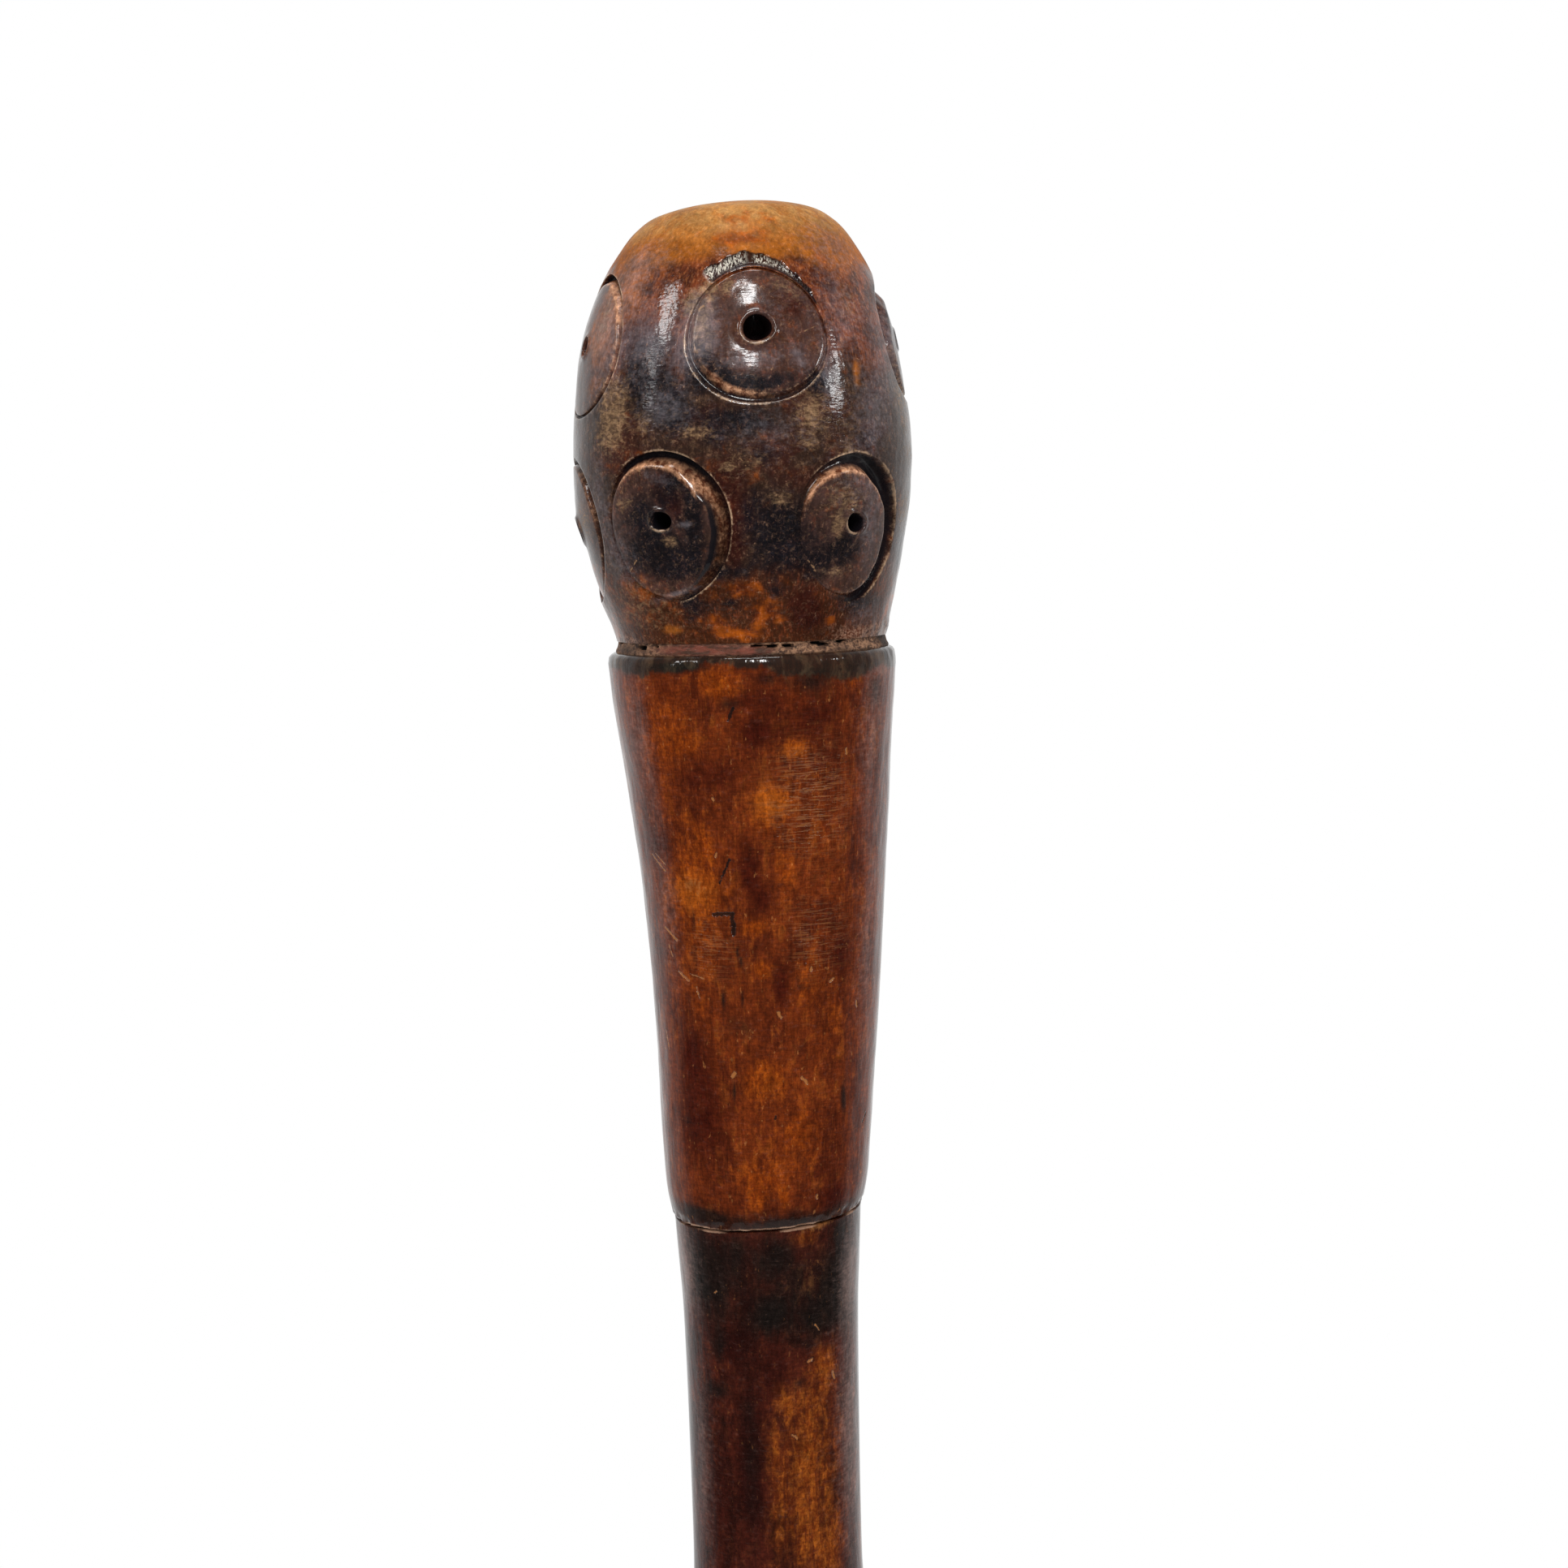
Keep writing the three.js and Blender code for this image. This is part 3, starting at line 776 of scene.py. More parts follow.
@dataclass
class RootKnob(PaintedPart):
    """The root bulb: a turned blank with two rows of carved eyes and a bore for the core.

    Points go round each eye in rows: outside its groove, by how far out they lie; on the raised
    rim of its hole, by how far out, how high and how much pale painted highlight they get; and
    down its wall, by share of the radius and depth.
    """

    neck_radius: float = 16.55
    belly_height: float = 22.3
    upper_row_share: float = 0.67
    lower_row_share: float = 0.256
    eye_radius: float = 8.3
    groove_width: float = 1.5
    groove_depth: float = 0.9
    pith_radius: float = 1.85
    pith_depth: float = 4.5
    outer_wall_share: float = 0.12
    bore_radius: float = 5.3
    bore_depth: float = 24.6
    honey_edge: Pair = (42.4, 46)
    rim_edge: Pair = (49.2, 45.5)
    band_top: Pair = (34.5, 29)
    band_foot: Pair = (6.5, 9.5)
    columns: int = 240
    row_spacing: float = 0.52
    window_margin: float = 0.9
    chatter_reach: float = 2.3
    chatter_depth: float = 0.16
    chatter_pitch: float = 3.1
    chatter_turn: float = 6.5
    chatter_rows: tuple = (2.3, 2.1, 1.9, 1.7, 1.45, 1.2, 0.95, 0.7, 0.48, 0.3, 0.15)
    plain_rows: tuple = (0.8, 0.5, 0.3, 0.15)
    lip_rows: tuple = ((0.66, 0.03, 0), (0.48, 0.12, 0.3), (0.3, 0.22, 1), (0.14, 0.15, 0.8),
                       (0.03, -0.04, 0))
    wall_rows: tuple = ((0.99, 0.22), (0.965, 0.8), (0.95, 2), (0.93, 3.3), (0.9, 4.5), (0.45, 4.9))
    slope_shares: tuple = (0.15, 0.4, 0.65, 0.85)
    disc_insets: tuple = (0, 0.12, 0.3, 0.55)
    lip_width: float = 1.4
    lower_shares: tuple = ((0.11, 0.16), (0.29, 0.47), (0.47, 0.68), (0.65, 0.85), (0.82, 0.95))
    upper_shares: tuple = (
        (0.13, 0.988), (0.26, 0.964), (0.385, 0.935), (0.51, 0.89), (0.64, 0.825),
        (0.74, 0.755), (0.835, 0.663), (0.9, 0.581), (0.95, 0.475), (0.985, 0.28),
    )
    upper_eyes: tuple = (
        Eye(-70.5, 80, 1.02, 1, 0, 0.7, 0.3, 0.55, slope=0.75),
        Eye(7.3, 235, 1.01, 0.945, -0.016, 0.6, 0.3, 0.9, dome=0, bevel=0.35, chatter=True, shallowness=0.5,
            shade_strength=0.6, pith_up=0.85, lit_side=240, lit_least=0, lit_power=6, shade_fade=0.85, shade_fade_side=170,
            pith_glint=0.62),
        Eye(89, 145, 0.93, 1, 0.04, 1.6, 0.9, 0.6, proud=0.02, dome=0, slope=0.1, shade_strength=0.8, sag=0.05),
        Eye(187, 60, 0.98, 1.02, -0.05, 0.75, 0.6, 0.8),
    )
    lower_eyes: tuple = (
        Eye(-83, 15, 1.05, 1, 0, 0.75, 0.9, 0.7, slope=0.3, sag=0.5),
        Eye(-27.5, 25, 0.99, 1.05, 0.02, 1, 0.97, 0.6, pith_up=0.75, chamfer=0.6, shade_fade=0.8,
            wide_pith=0.2, rim_shade=0.95, pith_glint=0.8, pith_glint_side=262),
        Eye(41, 28, 0.98, 1.06, -0.06, 1.35, 0.96, 0.62, pith_up=0.6, chamfer=0.36, wide_pith=0.14,
            shade_fade=0.6, shade_fade_side=155, lit_side=120, pith_glint=0.85, pith_glint_side=215),
        Eye(116, 150, 1, 1.04, 0.03, 0.8, 0.9, 0.7),
        Eye(193, 10, 0.98, 1.05, 0, 0.85, 0.93, 0.6),
    )

    def __post_init__(self) -> None:
        """Runs the knob's profile."""
        neck, crown = (self.neck_radius, self.stack.knob_base), (0, self.stack.crown)
        belly = (self.stack.knob_radius, self.stack.knob_base + self.belly_height)
        lower = between(neck, belly, self.lower_shares)
        upper = between((0, belly[1]), (belly[0], crown[1]), self.upper_shares)
        self.outline = Outline([neck, *lower, belly, *upper, crown])

    @property
    def eyes(self) -> list[tuple[Eye, float]]:
        """Every eye, with the height of its middle."""
        upper = self.stack.knob_height * self.upper_row_share
        lower = self.stack.knob_height * self.lower_row_share
        rows = [(self.upper_eyes, upper), (self.lower_eyes, lower)]
        return [(eye, self.stack.knob_base + height + self.eye_radius * eye.lift)
                for eyes, height in rows for eye in eyes]

    def window(self, eye: Eye, middle: float, heights: Array) -> tuple[int, int, int, int]:
        """Picks the part of the grid that an eye's own rows of points replace.

        Args:
            eye: The eye.
            middle: The height of its middle.
            heights: The heights of the grid's rows.

        Returns:
            The first and last column and the first and last row.
        """
        reach = self.eye_radius * eye.size + self.window_margin
        radius = float(self.outline.radius(middle))
        half = math.degrees(reach / radius)
        step = 360 / self.columns
        first = math.floor((eye.azimuth - half + 180) / step)
        last = math.ceil((eye.azimuth + half + 180) / step)
        above = self.chatter_reach + 0.3 if eye.chatter else 0
        low = int(np.searchsorted(heights, middle - reach * eye.tall)) - 1
        high = int(np.searchsorted(heights, middle + (reach + above) * eye.tall))
        return first, last, max(low, 2), high

    def groove(self, eye: Eye, around: Array) -> dict[str, Array]:
        """Works out the groove's edges and depth round an eye.

        Args:
            eye: The eye.
            around: Angles from the right towards the top.

        Returns:
            The reach of the outer edge, the floor's two sides and the inner edge, and the depth.
        """
        degrees = math.radians(1)
        wobble = 0.011 * np.sin(2 * around + eye.azimuth) + 0.007 * np.sin(3 * around + 2 * eye.azimuth)
        wobble += 0.004 * np.sin(7 * around + 3 * eye.azimuth)
        outer = self.eye_radius * eye.size * (1 + wobble)
        width = self.groove_width * eye.groove
        width = width * (1 - eye.narrowing * (0.5 - 0.5 * np.cos(around - eye.deep_side * degrees)))
        ratio = np.maximum(0.04, 1 + eye.tilt * np.cos(around - eye.deep_side * degrees))
        ratio *= 1 + 0.06 * np.sin(5 * around + eye.azimuth) + 0.04 * np.sin(13 * around)
        lean = np.maximum(0, np.cos(around - eye.bevel_side * degrees)) ** 1.5 * eye.bevel
        inner = outer - width
        return {
            "outer": outer + width * self.outer_wall_share * (ratio - 1),
            "floor_out": outer - width * self.outer_wall_share - lean,
            "floor_in": inner + width * eye.chamfer - lean,
            "inner": inner + width * eye.chamfer * (1 - ratio) - lean,
            "depth": self.groove_depth * ratio * (1 - eye.shallowness),
        }

    def strokes(self, out: float, around: Array) -> dict[str, Array]:
        """Works out the chatter of gouge strokes over the front eye.

        Args:
            out: How far outside the groove.
            around: Angles from the right towards the top.

        Returns:
            The strokes' rise, which is negative, and their shares of painted shade and painted highlight.
        """
        turn = np.degrees(around) % 360 + self.chatter_turn
        span = 0.3 + 0.75 * ease(turn, 34, 60) + 0.75 * ease(turn, 62, 92) + 0.2 * ease(turn, 95, 110)
        span = span + 0.14 * np.sin(turn / 5.1) + 0.1 * np.sin(turn / 2.3 + 1)
        present = ease(turn, 28, 36) * (1 - ease(turn, 134, 139))
        number = np.floor(turn / self.chatter_pitch)
        varied = 0.5 + 0.5 * np.sin(number * 12.9) * np.sin(number * 4.1 + 1)
        notch = 0.5 - 0.5 * np.cos(2 * math.pi * turn / self.chatter_pitch)
        gap = np.exp(-((turn - 98.5) / 4.5) ** 2)
        inside = ease(out, 0.1, 0.5) * (1 - ease(out, span - 0.25, span)) * present
        # The band's notches get painted shade, and its strokes a painted highlight.
        painted_shade = ease(out, 0, 0.12) * (1 - ease(out, span - 0.05, span + 0.12)) * present
        painted_glint = ease(out, 0.4, 0.65) * (1 - ease(out, span - 0.22, span - 0.06)) * present * (1 - gap)
        return {
            "rise": -(0.3 + self.chatter_depth * notch * varied + 0.15 * gap) * inside,
            "chatter": 0.92 * painted_shade,
            "painted_glint": painted_glint * (0.55 + 0.45 * ease(turn, 80, 86)),
        }

    def eye_rings(self, eye: Eye, around: Array, border: Array) -> list[EyeRing]:
        """Lists an eye's rows of points, from its window's border to the bottom of its hole.

        Args:
            eye: The eye.
            around: The angle of each point of a row.
            border: How far out the window's border lies there.

        Returns:
            The rows, from the outermost inwards, without the border.
        """
        cut = self.groove(eye, around)
        present = ease(cut["depth"], 0.2, 0.2 + 0.8 * (1 - eye.shallowness))
        # Painted shade in the groove fades towards one side, where rim_shade paints shade on the disc's rim
        # instead.
        towards = np.maximum(0, np.cos(around - math.radians(eye.shade_fade_side))) ** 1.5
        painted_shade = present * eye.shade_strength * (1 - eye.shade_fade * towards)
        shade = eye.rim_shade * towards
        fray = 0.6 + 0.4 * np.sin(9 * around + 4 * eye.azimuth) * np.sin(4 * around + eye.azimuth)
        # The rims of the groove and disc get pale bare wood with a painted highlight.
        lip_glint = present * min(1, 0.25 + eye.slope) * fray
        reach = self.chatter_reach if eye.chatter else self.plain_rows[0]
        nothing = np.zeros(len(around))
        rings = [EyeRing(border + (np.minimum(cut["outer"] + reach, border) - border) * share, nothing, {})
                 for share in (0.3, 0.6, 0.85)]
        for out in self.chatter_rows if eye.chatter else self.plain_rows:
            marks = self.strokes(out, around) if eye.chatter else {"rise": nothing}
            rise = marks.pop("rise")
            marks["bare_lip_and_glint"] = nothing if out > 0.2 else 0.6 * lip_glint
            rings.append(EyeRing(np.minimum(cut["outer"] + out, border), rise, marks))
        deep = -cut["depth"]
        proud = eye.proud - eye.sag * (0.5 - 0.5 * np.sin(around))
        # Rows down the groove: its outer wall and floor get painted shade, as where shade falls in a groove.
        steps = [
            ("outer", "floor_out", 0, 0, -0.04, {"bare_lip_and_glint": 0.9 * lip_glint}),
            ("outer", "floor_out", 0.25, 0.25, 0, {"cut": 0.5 * painted_shade, "bare_lip_and_glint": 0.3 * lip_glint}),
            ("outer", "floor_out", 0.6, 0.6, 0, {"cut": 0.9 * painted_shade}),
            ("outer", "floor_out", 0.9, 0.93, 0, {"cut": painted_shade}),
            ("floor_out", "floor_in", 0.1, 1.0, 0, {"cut": painted_shade}),
            ("floor_out", "floor_in", 0.9, 1.0, 0, {"cut": 0.95 * painted_shade, "slope": 0.2 * present}),
        ]
        for start, end, share, depth, extra, marks in steps:
            place = cut[start] + (cut[end] - cut[start]) * share
            rings.append(EyeRing(place, deep * depth + extra, marks))
        # Painted light: the groove's inner side is palest where it faces lit_side.
        facing = np.maximum(0, np.cos(around - math.radians(eye.lit_side))) ** eye.lit_power
        lit = eye.lit_least + (1 - eye.lit_least) * facing
        shallow = ease(cut["depth"], 0.1, 0.5) * eye.slope * lit
        for share in self.slope_shares:
            place = cut["floor_in"] + (cut["inner"] - cut["floor_in"]) * share
            rise = deep + (proud - deep) * share ** 0.85
            rimmed = shade * max(0, share - 0.4) / 0.45
            marks = {"slope": shallow * (0.4 + 0.6 * share) * (1 - rimmed),
                     "cut": np.maximum((1 - share) * 0.7 * painted_shade, rimmed)}
            rings.append(EyeRing(place, rise, marks))
        hole = 1 + 0.05 * np.sin(2 * around + eye.azimuth) + 0.03 * np.sin(3 * around + 2)
        hole *= self.pith_radius * eye.pith * (1 + eye.wide_pith * np.cos(2 * around))
        swell = self.lip_width * eye.pith
        disc = cut["inner"]
        for inward in self.disc_insets:
            marks = {"slope": shallow * (0.9 - inward * 1.6) * (1 - shade),
                     "bare_lip_and_glint": max(0, 0.6 - inward * 2.4) * lip_glint * (1 - shade),
                     "cut": shade * max(0, 1 - inward * 3), "disc": 1.0}
            dome = eye.dome * (1 - ((disc - inward) / disc) ** 2)
            rings.append(EyeRing(disc - inward, proud + dome - (0.035 if inward == 0 else 0), marks))
        flat = disc - self.disc_insets[-1]
        for share in np.linspace(0.08, 0.94, 12):
            place = flat + (hole + 0.85 * swell - flat) * share
            rise = proud + eye.dome * (1 - (place / disc) ** 2)
            rings.append(EyeRing(place, rise, {"disc": 1.0}, eye.pith_up * share))
        top = eye.dome * (1 - (hole / disc) ** 2)
        # The hole's raised rim gets a pale painted highlight, strongest towards one side; each rim row takes
        # its own share.
        pith_glint_share = eye.pith_glint * (0.5 + 0.5 * np.cos(around - math.radians(eye.pith_glint_side))) ** 3
        for out, raised, worn in self.lip_rows:
            marks = {"disc": 1.0, "bare_lip_and_glint": pith_glint_share * worn}
            rings.append(EyeRing(hole + out * swell, proud + top + raised * swell, marks, eye.pith_up))
        # The hole's wall gets painted shade, darker the deeper it goes.
        for share, depth in self.wall_rows:
            rings.append(EyeRing(hole * share, top - depth, {"cut": min(1, 0.35 + depth)}, eye.pith_up))
        return rings

    def add_eye(self, skin: Skin, eye: Eye, middle: float, grid: Array, heights: Array,
                along: Array, painted: dict[str, list]) -> tuple[int, int, int, int]:
        """Adds an eye's rows of points inside its window of the grid.

        Args:
            skin: The knob's skin.
            eye: The eye.
            middle: The height of its middle.
            grid: The numbers of the grid's points.
            heights: The heights of the grid's rows.
            along: How far up the map each row lies.
            painted: Gets the numbers and shares of what is painted.

        Returns:
            The window.
        """
        first, last, low, high = self.window(eye, middle, heights)
        step = 360 / self.columns
        spots = [(low, column) for column in range(first, last)]
        spots += [(row, last) for row in range(low, high)]
        spots += [(high, column) for column in range(last, first, -1)]
        spots += [(row, first) for row in range(high, low, -1)]
        border = np.array([grid[row, column % self.columns] for row, column in spots])
        radius = float(self.outline.radius(middle))
        corners = np.array([[math.radians(column * step - 180 - eye.azimuth) * radius,
                             (heights[row] - middle) / eye.tall] for row, column in spots])
        times = 3 if eye.chatter else 1
        parts = np.arange(len(spots) * times) / times
        closed = np.vstack([corners, corners[:1]])
        places = np.column_stack([np.interp(parts, np.arange(len(closed)), axis) for axis in closed.T])
        around = np.arctan2(places[:, 1], places[:, 0])
        before, is_first = border, True
        for ring in self.eye_rings(eye, around, np.hypot(*places.T)):
            height = middle + ring.up + ring.reach * np.sin(around) * eye.tall
            azimuth = eye.azimuth + np.degrees(ring.reach * np.cos(around) / radius)
            numbers = skin.add_points(self.outline.radius(height) + ring.rise, azimuth, height,
                                      np.interp(height, heights, along))
            for mark, share in ring.marks.items():
                painted.setdefault(mark, []).append((numbers, share))
            if is_first:
                skin.join_finer(before, numbers)
            else:
                skin.join_rows(before, numbers)
            before, is_first = numbers, False
        bottom = float(self.outline.radius(middle)) - self.pith_depth - 0.6
        hub = skin.add_points(bottom, eye.azimuth, middle, np.interp(middle, heights, along))
        # The bottom of the hole is painted fully shaded.
        painted["cut"].append((np.ravel(hub), 1.0))
        skin.fan(before, hub)
        return first, last, low, high

    def build(self) -> Piece:
        """Makes the knob.

        Returns:
            The knob's object, with its marks.
        """
        skin = Skin()
        bore_end = self.stack.knob_base + self.bore_depth
        inside = [(0.3, bore_end), (self.bore_radius, bore_end), (self.bore_radius, self.stack.knob_base)]
        bore = turned_skin(skin, inside, self.columns, True)
        hub = skin.add_points(0, 0, bore_end, 0, True)
        skin.fan(bore[0], hub)
        face = turned_skin(skin, [(self.neck_radius * share, self.stack.knob_base) for share in (0.7, 0.95)],
                           self.columns, True)
        profile = self.outline.rows(self.row_spacing)[:-1]
        heights = profile[:, 1]
        start = float(max(skin.columns["along"][-1])) + 1
        along = start + np.arange(len(profile)) * self.row_spacing
        azimuths = np.arange(self.columns) * 360 / self.columns - 180
        grid = skin.add_points(profile[:, :1], azimuths[None, :], profile[:, 1:], along[:, None])
        join_all(skin, np.vstack([bore, face, grid[:1]]))
        crown = skin.add_points(0, 0, self.stack.crown, along[-1] + self.row_spacing)
        skin.fan(grid[-1], crown)
        painted: dict[str, list] = {}
        kept = np.ones((len(profile) - 1, self.columns), bool)
        for eye, middle in self.eyes:
            first, last, low, high = self.add_eye(skin, eye, middle, grid, heights, along, painted)
            kept[low:high, np.arange(first, last) % self.columns] = False
        quads = np.stack([grid[:-1], np.roll(grid[:-1], -1, 1), np.roll(grid[1:], -1, 1), grid[1:]], -1)
        skin.quads.append(quads[kept])
        places, marks = skin.gather(self.stack)
        self.paint(marks, painted, places)
        self.roughen(places, marks, np.concatenate(skin.columns["straight"]).astype(bool))
        return skin.make("root_knob", places, marks, 55)

    def roughen(self, places: Array, marks: Marks, straight: Array) -> None:
        """Gives the skin its hand-cut unevenness, and its neck a crust.

        Args:
            places: The points, which are moved.
            marks: Their marks.
            straight: True for the bore's points.
        """
        uneven = 0.16 * lumps(places, 9, 1) + 0.06 * lumps(places, 3.2, 2) + 0.02 * lumps(places, 1.2, 3)
        above = marks.height - self.stack.knob_base
        crust = marks.shares["crust"]
        uneven += crust * (0.22 * lumps(places, 1.1, 4) + 0.14 * lumps(places, 0.6, 5) + 0.05)
        fade = np.maximum(ease(above, 0.0, 0.8), crust * ease(above, -0.2, -0.05)) * ~straight
        fade *= 1 - 0.999 * ease(marks.height, self.stack.crown - 0.4, self.stack.crown)
        marks.push(places, uneven * fade)

    def paint(self, marks: Marks, painted: dict[str, list], places: Array) -> None:
        """Paints the knob: the layers of its colour by height, its eyes, and its blotches.

        Args:
            marks: The knob's marks.
            painted: Numbers and shares of what its eyes' rows have.
            places: The points.
        """
        for mark, parts in painted.items():
            share = np.zeros(len(places))
            for numbers, value in parts:
                share[numbers] = value
            marks.add(mark, share)
        above = marks.height - self.stack.knob_base
        stray = lumps(places, 7, 6) + 0.5 * lumps(places, 3, 7)
        foot = ease(above + 1.6 * stray, *self.band_foot)
        marks.add("honey", ease(above + 1.4 * stray, *self.honey_edge))
        marks.add("glow", ease(above + stray, *self.rim_edge))
        marks.add("band", ease(above + 2.2 * stray, *self.band_top) * foot)
        marks.add("base", 1 - foot)
        self.blot(marks)
        base = self.stack.knob_base
        self.scatter(marks, (Tone.SOOT, 26, 11, (4, 4), (base + 6, base + 34), 0.8),
                     (Tone.OCHRE, 34, 12, (2.2, 2.4), (base + 12, base + 36), 0.7),
                     (Tone.AMBER, 22, 13, (3.2, 2.4), (base, base + 10), 0.9),
                     (Tone.MAROON, 16, 14, (3, 4), (base + 4, base + 40), 0.8),
                     (Tone.CRUST, 7, 15, (3, 1.2), (base, base + 1.2), 0.9))


@dataclass
class NeckFiller(PaintedPart):
    """The crumbly ring of old filler in the groove between the knob and the grip section."""

    radius: float = 16.5
    bore_radius: float = 5.3
    columns: int = 340
    gap_depth: float = 0.9
    band_rise: float = 0.12
    profile_shares: tuple = ((0, 1.012), (0.12, 1.014), (0.24, 1.011), (0.36, 1.006), (0.48, 1),
                             (0.6, 0.996), (0.72, 0.993), (0.84, 0.991), (1, 0.99))

    def __post_init__(self) -> None:
        """Runs the ring's outer profile."""
        self.low, self.high = self.stack.grip_top, self.stack.knob_base
        self.outer = between((0, self.low), (self.radius, self.high), self.profile_shares)
        self.outline = Outline(self.outer)

    def build(self) -> Piece:
        """Makes the ring, with its broken gaps and its crust.

        Returns:
            The ring's object.
        """
        low, high = self.low, self.high
        path = [(self.bore_radius, low), *self.outer, (self.bore_radius, high)]
        skin = Skin()
        rows = turned_skin(skin, path, self.columns)
        join_all(skin, rows)
        skin.join_rows(rows[-1], rows[0])
        places, marks = skin.gather(self.stack)
        self.blot(marks)
        self.scatter(marks, (Tone.CRUST, 12, 21, (4, 0.8), (low, high), 0.9),
                     (Tone.GAP, 9, 22, (1.6, 0.22), (high - 0.4, high), 1),
                     (Tone.SOOT, 8, 23, (3, 0.8), (low, high), 0.8))
        gap = ease(marks.shares["gap"], 0.3, 0.6)
        crust = marks.shares["crust"]
        rise = 0.08 * lumps(places, 2.4, 8) + crust * (0.22 * lumps(places, 0.9, 9) + 0.06)
        rise += self.band_rise * marks.shares["amber"] * (1 - crust)
        outside = np.hypot(places[:, 0], places[:, 1]) > self.bore_radius + 1
        marks.push(places, (rise - gap * self.gap_depth) * outside)
        # The gaps also get painted shade.
        marks.add("cut", gap)
        return skin.make("neck_filler_ring", places, marks, 60)


@dataclass
class GripSection(PaintedPart):
    """The tapered section under the hand, with its turned shoulder and its chipped lower end.

    The shoulder's dark rim is thinner or wider by rim_waves: by how much, at which azimuth, how wide.
    """

    behind: Pair = (78, 282)
    top_radius: float = 16.9
    shoulder_radius: float = 17.6
    shoulder_height: float = 1.9
    end_radius: float = 12.8
    end_height: float = 5.3
    seam_edge: float = 0.3
    bore_radius: float = 5.3
    columns: int = 220
    row_spacing: float = 0.42
    rim_waves: tuple = ((1.4, -12, 8), (0.8, 2, 7), (-0.9, 34, 22))
    end_shares: tuple = ((0.3, 0.44), (0.6, 0.78))
    taper_shares: tuple = ((0.13, 0.1), (0.3, 0.23), (0.46, 0.37), (0.63, 0.54), (0.79, 0.745), (0.92, 0.92))
    shoulder_shares: tuple = ((0.5, 0.94), (0.82, 0.72))

    def __post_init__(self) -> None:
        """Runs the section's profile."""
        foot, top = (self.stack.seam_radius, self.stack.seam), (self.top_radius, self.stack.grip_top)
        waist = (self.end_radius, foot[1] + self.end_height)
        shoulder = (self.shoulder_radius, top[1] - self.shoulder_height)
        end, taper = between(foot, waist, self.end_shares), between(waist, shoulder, self.taper_shares)
        rounded = between((top[0], shoulder[1]), (shoulder[0], top[1]), self.shoulder_shares)
        self.outline = Outline([foot, *end, waist, *taper, shoulder, *rounded, top])

    def build(self) -> Piece:
        """Makes the grip section.

        Returns:
            Its object, with its marks.
        """
        seam, top = self.stack.seam, self.stack.grip_top
        outer = [tuple(row) for row in self.outline.rows(self.row_spacing)]
        edge = [(outer[0][0] - self.seam_edge, seam), (outer[0][0] - 0.05, seam + 0.04)]
        path = [(self.bore_radius, seam), *edge, *outer[1:], (self.bore_radius, top)]
        skin = Skin()
        rows = turned_skin(skin, path, self.columns)
        join_all(skin, rows)
        skin.join_rows(rows[-1], rows[0])
        places, marks = skin.gather(self.stack)
        self.paint(marks, places)
        outside = np.hypot(places[:, 0], places[:, 1]) > self.bore_radius + 1
        streaks = places * np.array([1, 1, 0.12])
        rise = 0.13 * lumps(places, 11, 31) + 0.045 * lumps(streaks, 1.7, 32) + 0.03 * lumps(places, 2.2, 33)
        fade = ease(marks.height, seam, seam + 0.6) * ease(top - marks.height, 0, 0.4) * outside
        chips = marks.shares["chip"] * np.maximum(0, 0.4 + lumps(places, 0.9, 34))
        rise += 0.1 * lumps(places, 1.5, 41) * marks.shares["shoulder"]
        marks.push(places, rise * fade - 0.35 * chips * outside)
        return skin.make("tapered_grip", places, marks, 50)

    def paint(self, marks: Marks, places: Array) -> None:
        """Paints the section's shoulder, its lower end and its blotches.

        Args:
            marks: The section's marks.
            places: The points.
        """
        seam, top = self.stack.seam, self.stack.grip_top
        stray = lumps(places, 5, 35) + 0.5 * lumps(places, 2, 36)
        below_top, above_seam = top - marks.height, marks.height - seam
        waves = [by * np.exp(-((marks.azimuth - middle) / wide) ** 2)
                 for by, middle, wide in self.rim_waves]
        marks.add("shoulder", ease(below_top + 0.9 * stray + sum(waves), 3.0, 1.4))
        marks.add("soot", 0.6 * ease(above_seam + 1.2 * stray, 3.8, 0.8))
        marks.add("seam", ease(above_seam, 0.42, 0.2) * (0.15 + 0.85 * ease(stray, -0.45, 0.3)))
        marks.add("chip", ease(above_seam + 0.5 * stray, 0.9, 0.3))
        self.blot(marks)
        low, high = seam + 3, top - 4
        self.scatter(marks, (Tone.AMBER, 30, 37, (3.5, 5), (low, high), 0.9),
                     (Tone.MAROON, 24, 38, (3, 6), (low, high), 0.85),
                     (Tone.SOOT, 9, 39, (2, 4), (low, high), 0.6),
                     (Tone.OCHRE, 16, 40, (1.6, 2.6), (low, high), 0.5))


